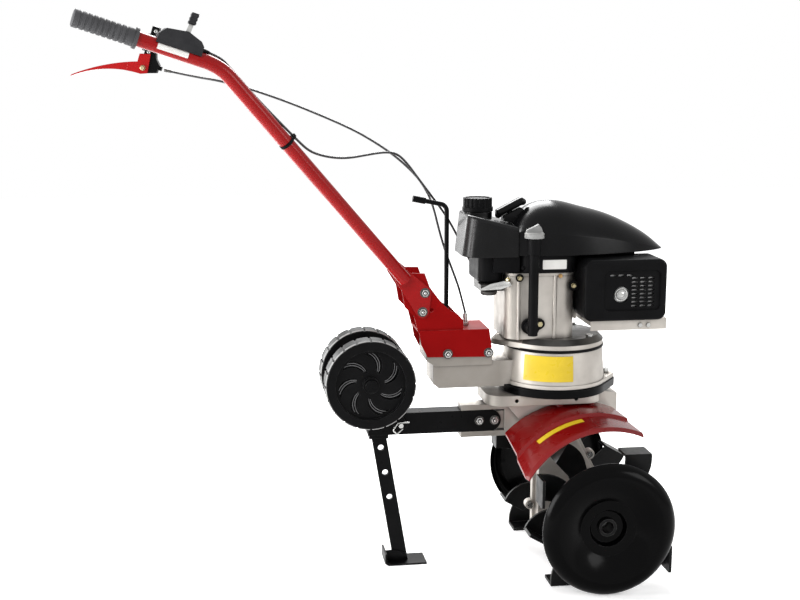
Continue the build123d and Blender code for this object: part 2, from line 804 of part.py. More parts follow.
shelf_rear = tongue_rear - 17.0
shelf_length = tongue_front - 8.0 - shelf_rear
with BuildPart() as column_bracket:
    with Locations((shelf_rear + shelf_length / 2, 0, shelf_top - bracket_plate / 2)):
        Box(shelf_length, 2 * bracket_half_width, bracket_plate)
    for face_y in (bracket_half_width, -bracket_half_width + bracket_plate):
        with BuildSketch(at_y(face_y)):
            Polygon(*skirt_outline, align=None)
        extrude(amount=bracket_plate)
    for face_y in (bracket_neck_half_width, -bracket_neck_half_width + bracket_plate):
        with BuildSketch(at_y(face_y)):
            Polygon(*neck_outline, align=None)
        extrude(amount=bracket_plate)
    with BuildSketch(at_y(bracket_half_width)):
        with Locations(*column_spots):
            Circle(bracket_bolt_radius + seat_gap)
        with Locations(*spare_spots):
            Circle(bracket_bolt_radius + 0.5)
        with Locations(*bracket_bolt_spots):
            Circle(bracket_bolt_radius + seat_gap)
    extrude(amount=2 * bracket_half_width, mode=Mode.SUBTRACT)
    with Locations((rod_x, 0, shelf_top)):
        Cylinder(rod_radius + moving_gap, 6 * bracket_plate, mode=Mode.SUBTRACT)
save(column_bracket, "column_bracket")

# Handlebars, named points and planes along them
foot_inner_y = bracket_neck_half_width + seat_gap
foot_outer_y = foot_inner_y + bracket_plate


def bar_points(side):
    """Foot, bend and grip end of a handlebar; side is -1 on the right and 1 on the left."""
    foot = Vector(column_bolt_x - foot_back, side * foot_half_width, column_bolt_z + foot_rise)
    bend = foot + Vector(-bar_run, side * bar_splay, bar_rise)
    end = bend + Vector(-grip_run, side * grip_splay, grip_rise)
    return foot, bend, end


def grip_plane(side, right=0.0):
    """Plane along the grip part of a bar: local x from its end forward, local y up, normal to the right."""
    bend, end = bar_points(side)[1:]
    along = (bend - end).normalized()
    across = Vector(along.Y, -along.X, 0).normalized()
    return Plane(origin=end + across * right, x_dir=along, z_dir=across)


with BuildPart() as handlebar_right:
    foot, bend, end = bar_points(-1)
    along = (bend - end).normalized()
    with BuildLine() as bar_path:
        FilletPolyline(end + along * grip_cap, bend, foot, radius=bar_bend_radius)
    with BuildSketch(Plane(origin=bar_path.line @ 0, z_dir=bar_path.line % 0)):
        Circle(tube_radius)
        Circle(tube_radius - tube_wall, mode=Mode.SUBTRACT)
    sweep(path=bar_path.line)
    with BuildSketch(at_y(-foot_inner_y)):
        with BuildSketch(mode=Mode.PRIVATE) as foot_outline:
            with Locations((foot.X - 8.0, foot.Z + 9.0)):
                Circle(tube_radius + 2.0)
            with Locations(*column_spots):
                Circle(tube_radius)
        make_hull(foot_outline.sketch.edges())
        with Locations(*column_spots):
            Circle(bracket_bolt_radius + seat_gap, mode=Mode.SUBTRACT)
    extrude(amount=bracket_plate)
save(handlebar_right, "handlebar_right")
handlebar_left = mirrored(handlebar_right)
save(handlebar_left, "handlebar_left")

# Ribbed grips with a collar at the inner end
rib_pitch = (grip_length - 26.0) / grip_ribs
with BuildPart() as grip_right:
    with BuildSketch(grip_plane(-1)):
        with BuildLine():
            outline = [(0, 0), (0, grip_radius - 3.0), (2.0, grip_radius)]
            for rib in range(grip_ribs):
                start = 12.0 + rib * rib_pitch
                outline.append((start, grip_radius))
                outline.append((start + 1.0, grip_radius - 1.5))
                outline.append((start + rib_pitch * 0.35, grip_radius - 1.5))
                outline.append((start + rib_pitch * 0.35 + 1.0, grip_radius))
            outline.append((grip_length - 6.0, grip_radius))
            outline.append((grip_length - 6.0, grip_radius + 3.0))
            outline.append((grip_length, grip_radius + 3.0))
            outline.append((grip_length, tube_radius + seat_gap))
            outline.append((grip_cap, tube_radius + seat_gap))
            outline.append((grip_cap, 0))
            Polyline(*outline, close=True)
        make_face()
    revolve(axis=Axis(end, along))
save(grip_right, "grip_right")
grip_left = mirrored(grip_right)
save(grip_left, "grip_left")

# Throttle control on the right bar
throttle_front = throttle_start + throttle_length
lever_thickness = 3.0
lever_slot_half = 22.0
with BuildPart() as throttle_housing:
    with BuildSketch(grip_plane(-1, -throttle_half_width)):
        with BuildLine():
            Polyline(
                (throttle_start, 5.0),
                (throttle_start + 1.0, 22.0),
                (throttle_start + 12.0, 35.0),
                (throttle_pivot, 41.0),
                (throttle_front - 7.0, 31.0),
                (throttle_front, 23.0),
                (throttle_front, 5.0),
                close=True,
            )
        make_face()
    extrude(amount=2 * throttle_half_width)
    with BuildSketch(Plane(origin=end, x_dir=grip_plane(-1).z_dir, z_dir=along)):
        Circle(tube_radius + seat_gap)
    extrude(amount=throttle_front + 10.0, mode=Mode.SUBTRACT)
    with BuildSketch(grip_plane(-1, -lever_thickness / 2 - moving_gap)):
        with Locations((throttle_pivot, 32.0)):
            Rectangle(2 * lever_slot_half, 34.0)
    extrude(amount=lever_thickness + 2 * moving_gap, mode=Mode.SUBTRACT)
    with BuildSketch(grip_plane(-1, -throttle_half_width + 4.0)):
        with Locations((throttle_pivot, throttle_pivot_height)):
            Circle(lever_pin_radius)
    extrude(amount=2 * throttle_half_width - 8.0)
save(throttle_housing, "throttle_housing")

knob_base = throttle_pivot_height + 32.0
with BuildPart() as throttle_lever:
    with BuildSketch(grip_plane(-1, -lever_thickness / 2)):
        with Locations((throttle_pivot, throttle_pivot_height)):
            Circle(6.5)
        with BuildLine():
            Polyline(
                (throttle_pivot - 5.0, throttle_pivot_height),
                (throttle_pivot + 5.0, throttle_pivot_height),
                (throttle_pivot + 8.0, knob_base + 8.0),
                (throttle_pivot, knob_base + 8.0),
                close=True,
            )
        make_face()
        with Locations((throttle_pivot, throttle_pivot_height)):
            Circle(lever_pin_radius + running_gap, mode=Mode.SUBTRACT)
    extrude(amount=lever_thickness)
save(throttle_lever, "throttle_lever")

knob_length = 22.0
with BuildPart() as throttle_knob:
    with BuildSketch(grip_plane(-1, -5.5)):
        with BuildLine():
            Polyline(
                (throttle_pivot - 3.0, knob_base),
                (throttle_pivot + 9.5, knob_base),
                (throttle_pivot + 11.5, knob_base + knob_length),
                (throttle_pivot - 1.0, knob_base + knob_length),
                close=True,
            )
        make_face()
    extrude(amount=11.0)
    with BuildSketch(grip_plane(-1, -lever_thickness / 2 - seat_gap)):
        with Locations((throttle_pivot + 3.5, knob_base + 4.0)):
            Rectangle(9.8, 8.4)
    extrude(amount=lever_thickness + 2 * seat_gap, mode=Mode.SUBTRACT)
save(throttle_knob, "throttle_knob")

# Clutch perch on the left bar: a clamp, a bracket under it, the lever pin and the cable ferrule
bend_left, end_left = bar_points(1)[1:]
along_left = (bend_left - end_left).normalized()
clamp_plane = Plane(origin=end_left + along_left * perch_start, x_dir=grip_plane(1).z_dir, z_dir=along_left)
clamp_radius = tube_radius + 5.0
cheek_inner = perch_half_width + moving_gap
cheek_outer = cheek_inner + 3.0
ferrule_start = clutch_pivot + 33.0
ferrule_drop = clutch_pivot_drop - 10.0
with BuildPart() as clutch_perch:
    with BuildSketch(clamp_plane):
        Circle(clamp_radius)
    extrude(amount=perch_width)
    with BuildSketch(grip_plane(1, -perch_half_width)):
        with Locations((perch_start + perch_width / 2, clamp_radius + 7.0)):
            Rectangle(perch_width - 4.0, 24.0)
        with BuildLine():
            Polyline(
                (perch_start, 0),
                (perch_start, -clutch_pivot_drop + 16.0),
                (perch_start + 3.0, -clutch_pivot_drop - 8.0),
                (clutch_pivot + 7.0, -clutch_pivot_drop - 10.0),
                (ferrule_start - 2.0, -ferrule_drop - 12.0),
                (ferrule_start, -ferrule_drop + 6.0),
                (clutch_pivot + 22.0, -clutch_pivot_drop + 28.0),
                (perch_start + perch_width, 0),
                close=True,
            )
        make_face()
    extrude(amount=2 * perch_half_width)
    with BuildSketch(clamp_plane):
        Circle(tube_radius + seat_gap)
    extrude(amount=2 * perch_width, mode=Mode.SUBTRACT)
    with BuildSketch(grip_plane(1, -cheek_outer - 2.0)):
        with Locations((clutch_pivot, -clutch_pivot_drop)):
            Circle(clutch_pin_radius)
    extrude(amount=2 * cheek_outer + 4.0)
    with BuildSketch(Plane(origin=grip_plane(1).from_local_coords((ferrule_start - 4.0, -ferrule_drop, 0)),
                           z_dir=along_left)):
        Circle(cable_radius + 2.5)
    extrude(amount=10.0)
save(clutch_perch, "clutch_perch")

# Clutch lever: two cheeks that straddle the perch, drawn together into one blade
lever_tip = clutch_pivot - 150.0
with BuildPart() as clutch_lever:
    with BuildSketch(grip_plane(1, -cheek_outer)):
        with BuildLine():
            Polyline(
                (clutch_pivot + 9.0, -clutch_pivot_drop + 34.0),
                (clutch_pivot + 13.0, -clutch_pivot_drop - 8.0),
                (clutch_pivot - 1.0, -clutch_pivot_drop - 14.0),
            )
            ThreePointArc(
                (clutch_pivot - 1.0, -clutch_pivot_drop - 14.0),
                (clutch_pivot - 67.0, -clutch_pivot_drop - 24.0),
                (lever_tip, -clutch_pivot_drop - 68.0),
            )
            Line((lever_tip, -clutch_pivot_drop - 68.0), (lever_tip + 2.0, -clutch_pivot_drop - 63.0))
            ThreePointArc(
                (lever_tip + 2.0, -clutch_pivot_drop - 63.0),
                (clutch_pivot - 72.0, -clutch_pivot_drop - 14.0),
                (clutch_pivot - 15.0, -clutch_pivot_drop + 10.0),
            )
            Polyline(
                (clutch_pivot - 15.0, -clutch_pivot_drop + 10.0),
                (clutch_pivot - 15.0, -clutch_pivot_drop + 28.0),
                (clutch_pivot + 9.0, -clutch_pivot_drop + 34.0),
            )
        make_face()
        with Locations((clutch_pivot, -clutch_pivot_drop)):
            Circle(clutch_pin_radius + running_gap, mode=Mode.SUBTRACT)
    extrude(amount=2 * cheek_outer)
    with BuildSketch(grip_plane(1, -cheek_inner)):
        with Locations((clutch_pivot + 8.0, -clutch_pivot_drop)):
            Rectangle(60.0, 120.0)
    extrude(amount=2 * cheek_inner, mode=Mode.SUBTRACT)
    for face in (-cheek_outer, lever_blade_half):
        with BuildSketch(grip_plane(1, face)):
            with Locations(((lever_tip + clutch_pivot) / 2 - 30.0, -clutch_pivot_drop)):
                Rectangle(clutch_pivot - lever_tip - 8.0, 200.0)
        extrude(amount=cheek_outer - lever_blade_half, mode=Mode.SUBTRACT)
save(clutch_lever, "clutch_lever")

# Selector rod with a bent, capped handle, and the cable adjuster on the bracket shelf
rod_foot = tongue_top - 28.0
rod_bend_z = shelf_top + rod_height
rod_end = Vector(rod_x - rod_handle_reach, 0, rod_bend_z + rod_handle_rise - 14.0)
with BuildPart() as selector_rod:
    with BuildLine() as rod_path:
        FilletPolyline((rod_x, 0, rod_foot), (rod_x, 0, rod_bend_z), rod_end, radius=16.0)
    with BuildSketch(Plane.XY.offset(rod_foot)):
        with Locations((rod_x, 0)):
            Circle(rod_radius)
    sweep(path=rod_path.line)
    with BuildSketch(Plane(origin=rod_path.line @ 1 + (rod_path.line % 1) * 2.0, z_dir=rod_path.line % 1)):
        Circle(rod_radius + 2.0)
    extrude(amount=-28.0)
save(selector_rod, "selector_rod")

adjuster_x = rod_x + 42.0
adjuster_top = shelf_top + 26.0
with BuildPart() as cable_adjuster:
    with BuildSketch(Plane.XY.offset(shelf_top)):
        with Locations((adjuster_x, 0)):
            RegularPolygon(8.0, 6)
    extrude(amount=7.0)
    with BuildSketch(Plane.XY.offset(shelf_top + 7.0)):
        with Locations((adjuster_x, 0)):
            Circle(cable_radius + 2.5)
    extrude(amount=adjuster_top - shelf_top - 7.0)
save(cable_adjuster, "cable_adjuster")

# Drawbar: rectangular tube with a rounded front, slotted below for the spur, with a collar around it
spur_slope = math.tan(math.radians(spur_tilt))
collar_drop = 10.0
drawbar_nose = drawbar_front - drawbar_height / 2


def spur_plane(right=0.0):
    """Plane along the spur: local x runs down it from its pin, normal to the right."""
    return turned(spur_pin_x, -right, drawbar_z, spur_tilt - 90.0)


with BuildPart() as drawbar:
    with BuildSketch(at_y(drawbar_width / 2)):
        with Locations(((drawbar_rear + drawbar_nose) / 2, drawbar_z)):
            Rectangle(drawbar_nose - drawbar_rear, drawbar_height)
        with Locations((drawbar_nose, drawbar_z)):
            Circle(drawbar_height / 2)
    extrude(amount=drawbar_width)
    with BuildSketch(at_y(spur_thickness / 2 + 8.0)):
        with Locations((spur_pin_x + spur_slope * drawbar_height / 2, drawbar_z - drawbar_height / 2)):
            Rectangle(spur_width + 10.0, 2 * collar_drop)
    extrude(amount=spur_thickness + 16.0)
    with Locations(((drawbar_rear + drawbar_front) / 2, 0, drawbar_z)):
        Box(2 * drawbar_front, drawbar_width - 2 * drawbar_wall, drawbar_height - 2 * drawbar_wall,
            mode=Mode.SUBTRACT)
    with BuildSketch(spur_plane(-spur_thickness / 2 - seat_gap)):
        with Locations((drawbar_height / 2, 0)):
            Rectangle(drawbar_height, spur_width + 2 * seat_gap)
    extrude(amount=spur_thickness + 2 * seat_gap, mode=Mode.SUBTRACT)
    with BuildSketch(at_y(drawbar_width / 2)):
        with Locations((spur_pin_x, drawbar_z)):
            Circle(spur_hole_radius)
        with Locations((carrier_pin_x, drawbar_z)):
            Circle(carrier_pin_radius + seat_gap)
        with Locations((yoke_bolt_x, drawbar_z), (yoke_bolt_x + yoke_bolt_pitch, drawbar_z)):
            Circle(bracket_bolt_radius + seat_gap)
    extrude(amount=drawbar_width, mode=Mode.SUBTRACT)
save(drawbar, "drawbar")

# Depth spur with its row of holes and its foot
spur_length = drawbar_z / math.cos(math.radians(spur_tilt))
foot_x = spur_pin_x + spur_slope * drawbar_z + 8.0
foot_rear = foot_x - spur_foot_length / 2
foot_upturn = 28.0
with BuildPart() as depth_spur:
    with BuildSketch(spur_plane(-spur_thickness / 2)):
        with Locations((spur_length / 2 - 8.0, 0)):
            Rectangle(spur_length + 16.0, spur_width)
        with Locations(*[(step * spur_hole_pitch, 0) for step in range(4)]):
            Circle(spur_hole_radius, mode=Mode.SUBTRACT)
    extrude(amount=spur_thickness)
    with BuildSketch(at_y(spur_foot_width / 2)):
        with BuildLine():
            Polyline(
                (foot_rear, foot_upturn),
                (foot_rear, 6.0),
                (foot_rear + 8.0, 0),
                (foot_rear + spur_foot_length, 0),
                (foot_rear + spur_foot_length, spur_foot_thickness),
                (foot_rear + 10.0, spur_foot_thickness),
                (foot_rear + spur_foot_thickness, 8.0),
                (foot_rear + spur_foot_thickness, foot_upturn),
                close=True,
            )
        make_face()
    extrude(amount=spur_foot_width)
    with BuildSketch(Plane.XY):
        with Locations((foot_x, 0)):
            Rectangle(3 * spur_foot_length, 3 * spur_foot_width)
    extrude(amount=-60.0, mode=Mode.SUBTRACT)
save(depth_spur, "depth_spur")

# Pins of the drawbar: the spur pin, and the hitch pin of the wheel carrier with its spring clip
carrier_inner_y = wheel_track / 2 - wheel_width / 2 - 2.0 - carrier_plate
carrier_outer_y = carrier_inner_y + carrier_plate
pin_end = carrier_outer_y + 5.0
with BuildPart() as drawbar_pins:
    with BuildSketch(at_y(drawbar_width / 2)):
        with Locations((spur_pin_x, drawbar_z)):
            Circle(spur_hole_radius - seat_gap)
    extrude(amount=drawbar_width)
    with BuildSketch(at_y(-drawbar_width / 2)):
        with Locations((spur_pin_x, drawbar_z)):
            RegularPolygon(spur_hole_radius + 3.0, 6)
    extrude(amount=4.0)
    with BuildSketch(at_y(pin_end)):
        with Locations((carrier_pin_x, drawbar_z)):
            Circle(carrier_pin_radius)
    extrude(amount=2 * pin_end)
    with BuildLine() as clip_path:
        clip = Vector(carrier_pin_x, -pin_end + 2.0, drawbar_z)
        FilletPolyline(
            clip + Vector(18.0, 0, 7.2),
            clip + Vector(-6.0, 0, 6.6),
            clip + Vector(-18.0, 0, -10.0),
            clip + Vector(-9.0, 0, -18.0),
            clip + Vector(4.0, 0, -6.5),
            radius=[4.0, 4.0, 4.0],
        )
    with BuildSketch(Plane(origin=clip_path.line @ 0, z_dir=clip_path.line % 0)):
        Circle(1.5)
    sweep(path=clip_path.line)
save(drawbar_pins, "drawbar_pins")

# Wheel carrier: two arms on the hitch pin, joined by a spacer tube and by the axle
carrier_spacer = 0.72
spacer_x = carrier_pin_x + carrier_spacer * (axle_x - carrier_pin_x)
spacer_z = drawbar_z + carrier_spacer * (axle_z - drawbar_z)
with BuildPart() as wheel_carrier:
    for face_y in (carrier_outer_y, -carrier_inner_y):
        with BuildSketch(at_y(face_y)):
            with BuildSketch(mode=Mode.PRIVATE) as arm_outline:
                with Locations((carrier_pin_x, drawbar_z), (axle_x, axle_z)):
                    Circle(14.0)
            make_hull(arm_outline.sketch.edges())
        extrude(amount=carrier_plate)
    for face_y in (carrier_inner_y, -drawbar_width / 2 - moving_gap):
        with BuildSketch(at_y(face_y)):
            with Locations((carrier_pin_x, drawbar_z)):
                Circle(10.0)
        extrude(amount=carrier_inner_y - drawbar_width / 2 - moving_gap)
    with BuildSketch(at_y(carrier_inner_y)):
        with Locations((spacer_x, spacer_z)):
            Circle(7.0)
    extrude(amount=2 * carrier_inner_y)
    with BuildSketch(at_y(carrier_outer_y)):
        with Locations((carrier_pin_x, drawbar_z)):
            Circle(carrier_pin_radius + running_gap)
        with Locations((axle_x, axle_z)):
            Circle(axle_radius + seat_gap)
    extrude(amount=2 * carrier_outer_y, mode=Mode.SUBTRACT)
save(wheel_carrier, "wheel_carrier")

wheel_inner_y = wheel_track / 2 - wheel_width / 2
wheel_outer_y = wheel_inner_y + wheel_width
axle_half_length = wheel_outer_y + 8.0
with BuildPart() as wheel_axle:
    with BuildSketch(at_y(axle_half_length)):
        with Locations((axle_x, axle_z)):
            Circle(axle_radius)
    extrude(amount=2 * axle_half_length)
    for face_y in (axle_half_length, -axle_half_length + 4.0):
        with BuildSketch(at_y(face_y)):
            with Locations((axle_x, axle_z)):
                Circle(axle_radius + 5.0)
        extrude(amount=4.0)
save(wheel_axle, "wheel_axle")

# Wheels: treaded rim, web with turbine pockets on both faces, long hub
rim_radius = wheel_outer_radius - 22.0
web_half = 13.0
hub_half = wheel_width / 2 + 1.0
pocket_depth = 8.0
pocket_inner = 30.0
pocket_outer = rim_radius - 6.0
pocket_middle = (pocket_inner + pocket_outer) / 2


def on_wheel(radius, angle):
    """Point at a radius and an angle in degrees, on a plane about the axle."""
    return radius * math.cos(math.radians(angle)), radius * math.sin(math.radians(angle))


pocket_points = [
    on_wheel(pocket_inner, 0),
    on_wheel(pocket_middle, 9),
    on_wheel(pocket_outer, 27),
    on_wheel(pocket_outer, 38),
    on_wheel(pocket_outer, 49),
    on_wheel(pocket_middle, 28),
    on_wheel(pocket_inner, 17),
]
with BuildPart() as wheel_right:
    with BuildSketch(at_y(-wheel_inner_y)):
        with Locations((axle_x, axle_z)):
            Circle(wheel_outer_radius)
            Circle(rim_radius, mode=Mode.SUBTRACT)
    extrude(amount=wheel_width)
    tread_edges = wheel_right.edges().filter_by(GeomType.CIRCLE).sort_by(SortBy.RADIUS)[-2:]
    chamfer(tread_edges, length=4.0)
    with BuildSketch(at_y(-wheel_track / 2 + web_half)):
        with Locations((axle_x, axle_z)):
            Circle(rim_radius + 1.0)
    extrude(amount=2 * web_half)
    with BuildSketch(at_y(-wheel_track / 2 + hub_half)):
        with Locations((axle_x, axle_z)):
            Circle(axle_radius + 9.0)
    extrude(amount=2 * hub_half)
    for spoke in range(wheel_spokes):
        for face_y in (web_half, pocket_depth - web_half):
            with BuildSketch(turned(axle_x, -wheel_track / 2 + face_y, axle_z, spoke * 360 / wheel_spokes)):
                with BuildLine():
                    ThreePointArc(pocket_points[0], pocket_points[1], pocket_points[2])
                    ThreePointArc(pocket_points[2], pocket_points[3], pocket_points[4])
                    ThreePointArc(pocket_points[4], pocket_points[5], pocket_points[6])
                    Line(pocket_points[6], pocket_points[0])
                make_face()
            extrude(amount=pocket_depth, mode=Mode.SUBTRACT)
    for block in range(wheel_blocks):
        with BuildSketch(turned(axle_x, -wheel_inner_y, axle_z, block * 360 / wheel_blocks)):
            with Locations((wheel_outer_radius, 0)):
                Rectangle(6.0, 5.0)
        extrude(amount=wheel_width, mode=Mode.SUBTRACT)
    with BuildSketch(at_y(0)):
        with Locations((axle_x, axle_z)):
            Circle(axle_radius + running_gap)
    extrude(amount=2 * wheel_outer_y, mode=Mode.SUBTRACT)
save(wheel_right, "wheel_right")
wheel_left = mirrored(wheel_right)
save(wheel_left, "wheel_left")

# Frame bolts: through bolts of the column bracket and of the drawbar yoke


def through_bolt(x, z, half_grip):
    """Bolt across the machine, with its head on the right and a nut on the left."""
    with BuildPart() as bolt:
        add(hex_bolt(turned(x, -half_grip, z, 0), bracket_bolt_radius, 2 * half_grip + 7.0))
        with BuildSketch(at_y(half_grip + 5.0)):
            with Locations((x, z)):
                RegularPolygon(bracket_bolt_radius * 1.7, 6, major_radius=False)
        extrude(amount=5.0)
    return bolt.part


with BuildPart() as frame_bolts:
    for bolt_x, bolt_z in column_spots:
        add(through_bolt(bolt_x, bolt_z, foot_outer_y))
    for bolt_x, bolt_z in bracket_bolt_spots:
        add(through_bolt(bolt_x, bolt_z, bracket_half_width))
    for bolt_x in (yoke_bolt_x, yoke_bolt_x + yoke_bolt_pitch):
        add(through_bolt(bolt_x, drawbar_z, drawbar_width / 2))
save(frame_bolts, "frame_bolts")

# Engine base with an ear to the rear, and the crankcase on it
ear_x = tongue_front + 32.0
with BuildPart() as engine_base:
    with BuildSketch(Plane.XY.offset(bell_top)):
        with BuildSketch(mode=Mode.PRIVATE) as base_outline:
            with Locations((crank_x, 0)):
                Circle(base_radius)
            with Locations((ear_x, 0)):
                Circle(24.0)
        make_hull(base_outline.sketch.edges())
        with Locations((crank_x, 0)):
            Circle(crank_radius + 6.0, mode=Mode.SUBTRACT)
    extrude(amount=base_height)
    chamfer(engine_base.faces().sort_by(Axis.Z)[-1].outer_wire().edges(), base_slope)
save(engine_base, "engine_base")

block_side = block_width / 2
block_rim = 6.0
rib_spots = [(block_x + shift, side * block_side) for shift in (-50.0, 29.0) for side in (-1, 1)]
with BuildPart() as crankcase:
    with BuildSketch(Plane.XY.offset(base_top)):
        with Locations((block_x, 0)):
            RectangleRounded(block_length, block_width, block_corner)
        with Locations(*rib_spots):
            Circle(4.0)
    extrude(amount=block_height - block_rim)
    with BuildSketch(Plane.XY.offset(block_top - block_rim)):
        with Locations((block_x, 0)):
            RectangleRounded(block_length, block_width + 6.0, block_corner)
    extrude(amount=block_rim)
    with BuildSketch(Plane.XY.offset(base_top)):
        with Locations((crank_x, 0)):
            Circle(crank_radius + running_gap)
    extrude(amount=block_height, mode=Mode.SUBTRACT)
save(crankcase, "crankcase")

# Crankshaft with the clutch hub on its lower end, and the flywheel on its upper end
clutch_hub_radius = drum_radius - drum_wall - clutch_gap
clutch_hub_bottom = drum_bottom + drum_wall + 3.0
clutch_hub_top = drum_bottom + drum_height - 6.0
flywheel_bottom = cover_bottom + 4.0
crank_top = flywheel_bottom + flywheel_height + 4.0
with BuildPart() as crankshaft:
    with BuildSketch(crank_plane):
        with BuildLine():
            Polyline(
                (0, clutch_hub_bottom),
                (clutch_hub_radius, clutch_hub_bottom),
                (clutch_hub_radius, clutch_hub_top),
                (crank_radius, clutch_hub_top),
                (crank_radius, crank_top),
                (0, crank_top),
                close=True,
            )
        make_face()
    revolve(axis=crank_axis)
save(crankshaft, "crankshaft")

with BuildPart() as flywheel:
    with BuildSketch(Plane.XY.offset(flywheel_bottom)):
        with Locations((crank_x, 0)):
            Circle(flywheel_radius)
            Circle(crank_radius + seat_gap, mode=Mode.SUBTRACT)
    extrude(amount=flywheel_height)
save(flywheel, "flywheel")

# Blower housing and the domed top cover
blower_rear = tank_front_x + 4.0
blower_x = blower_rear + blower_length / 2
shroud_reach = 140.0
shroud_right_y = guard_face_y + guard_depth + 2.0
with BuildPart() as blower_housing:
    with BuildSketch(Plane.XY.offset(block_top)):
        with Locations((blower_x, 0)):
            RectangleRounded(blower_length, blower_width, block_corner)
    extrude(amount=cover_bottom - block_top)
    with Locations((block_front - 20.0, shroud_right_y, block_top)):
        Box(
            shroud_reach + 20.0,
            blower_width / 2 - shroud_right_y,
            cover_bottom - block_top,
            align=Align.MIN,
        )
    with BuildSketch(Plane.XY.offset(block_top + 4.0)):
        with Locations((blower_x, 0)):
            RectangleRounded(blower_length - 8.0, blower_width - 8.0, block_corner - 4.0)
    extrude(amount=cover_bottom - block_top, mode=Mode.SUBTRACT)
    with Locations((crank_x, 0, block_top)):
        Cylinder(crank_radius + 4.0, 20.0, mode=Mode.SUBTRACT)
save(blower_housing, "blower_housing")

tank_top = tank_bottom + tank_height
pull_spot = Vector(tank_front_x - 3.0, 0, tank_top + 9.5)
guide_top = pull_spot.Z - pull_stem - moving_gap
guide_rear = pull_spot.X - guide_half_width
guide_foot = tank_top - tank_slope + 1.5
# Sections of the cover: place along the crank line, half width, crown height and share of it that is wall
cover_sections = [
    (tank_front + 0.5, 79.0, 61.0, 0.80),
    (-84.0, 84.0, 82.0, 0.62),
    (-62.0, 89.0, 99.0, 0.48),
    (-30.0, 92.0, 108.0, 0.42),
    (5.0, 93.0, 107.0, 0.40),
    (45.0, 90.0, 97.0, 0.40),
    (100.0, 80.0, 82.0, 0.38),
    (140.0, 68.0, 66.0, 0.36),
    (175.0, 54.0, 48.0, 0.34),
    (205.0, 38.0, 29.0, 0.32),
    (225.0, 23.0, 13.0, 0.30),
    (237.5, 9.0, 3.0, 0.30),
]
with BuildPart() as top_cover:
    for shift, half_width, crown, wall_share in cover_sections:
        with BuildSketch(Plane(origin=(crank_x + shift, 0, cover_bottom), x_dir=(0, 1, 0), z_dir=(1, 0, 0))):
            with BuildLine():
                shoulder = (half_width * 0.95, crown * wall_share)
                left_shoulder = (-half_width * 0.95, crown * wall_share)
                Polyline(left_shoulder, (-half_width, 0), (half_width, 0), shoulder)
                ThreePointArc(shoulder, (0, crown), left_shoulder)
            make_face()
    loft()
    with Locations((crank_x, 0, cover_bottom)):
        Cylinder(cover_cavity_radius, cover_cavity_height, align=(Align.CENTER, Align.CENTER, Align.MIN),
                 mode=Mode.SUBTRACT)
    with BuildSketch(at_y(guide_half_width)):
        with BuildLine():
            Polyline(
                (guide_rear, guide_foot + 4.5),
                (guide_rear, guide_top),
                (pull_spot.X + guide_half_width, guide_top),
                (blower_rear + guide_half_width, guide_top + 2.0),
                (blower_rear + guide_half_width, cover_bottom + cover_cavity_height),
                (blower_rear, cover_bottom + cover_cavity_height),
                (blower_rear, guide_foot),
                close=True,
            )
        make_face()
    extrude(amount=2 * guide_half_width)
save(top_cover, "top_cover")

pull_tilt = math.radians(pull_bar_tilt)
pull_along = Vector(math.cos(pull_tilt), 0, math.sin(pull_tilt)) * (pull_bar_length / 2)
pull_bow = Vector(math.sin(pull_tilt), 0, -math.cos(pull_tilt)) * pull_bar_bow
with BuildPart() as recoil_handle:
    with BuildLine() as pull_line:
        ThreePointArc(pull_spot - pull_along + pull_bow, pull_spot, pull_spot + pull_along + pull_bow)
    with BuildSketch(Plane(origin=pull_line.line @ 0, z_dir=pull_line.line % 0)):
        Circle(pull_bar_radius)
    sweep(path=pull_line.line)
    with Locations(pull_line.line @ 0, pull_line.line @ 1):
        Sphere(pull_bar_radius)
    with BuildSketch(Plane.XY.offset(pull_spot.Z)):
        with Locations((pull_spot.X, 0)):
            Circle(pull_bar_radius - 1.5)
    extrude(amount=-pull_stem)
save(recoil_handle, "recoil_handle")

# Fuel tank with its neck, and the fluted cap over the neck
tank_rear = tank_front_x - tank_length
cap_x = tank_rear + cap_radius + 8.0
cap_bottom = tank_top + 1.5
with BuildPart() as fuel_tank:
    with BuildSketch(at_y(tank_width / 2)):
        with BuildLine():
            Polyline(
                (tank_rear, tank_bottom),
                (tank_front_x, tank_bottom),
                (tank_front_x, tank_top - tank_slope),
                (tank_rear + tank_draft, tank_top),
                close=True,
            )
        make_face()
    extrude(amount=tank_width)
    rear_corners = fuel_tank.faces().sort_by(Axis.X)[0].edges().filter_by(Axis.Y, reverse=True)
    fillet(rear_corners, tank_corner)
    fillet(fuel_tank.faces().sort_by(Axis.Z)[-1].edges(), 7.0)
    with BuildSketch(Plane.XY.offset(tank_bottom + tank_height / 2)):
        with Locations((cap_x, 0)):
            Circle(cap_radius - 2.0)
    extrude(amount=tank_height / 2)
    with BuildSketch(Plane.XY.offset(tank_bottom + tank_height / 2)):
        with Locations((cap_x, 0)):
            Circle(neck_radius)
    extrude(amount=tank_height / 2 + cap_height * 0.6)
save(fuel_tank, "fuel_tank")

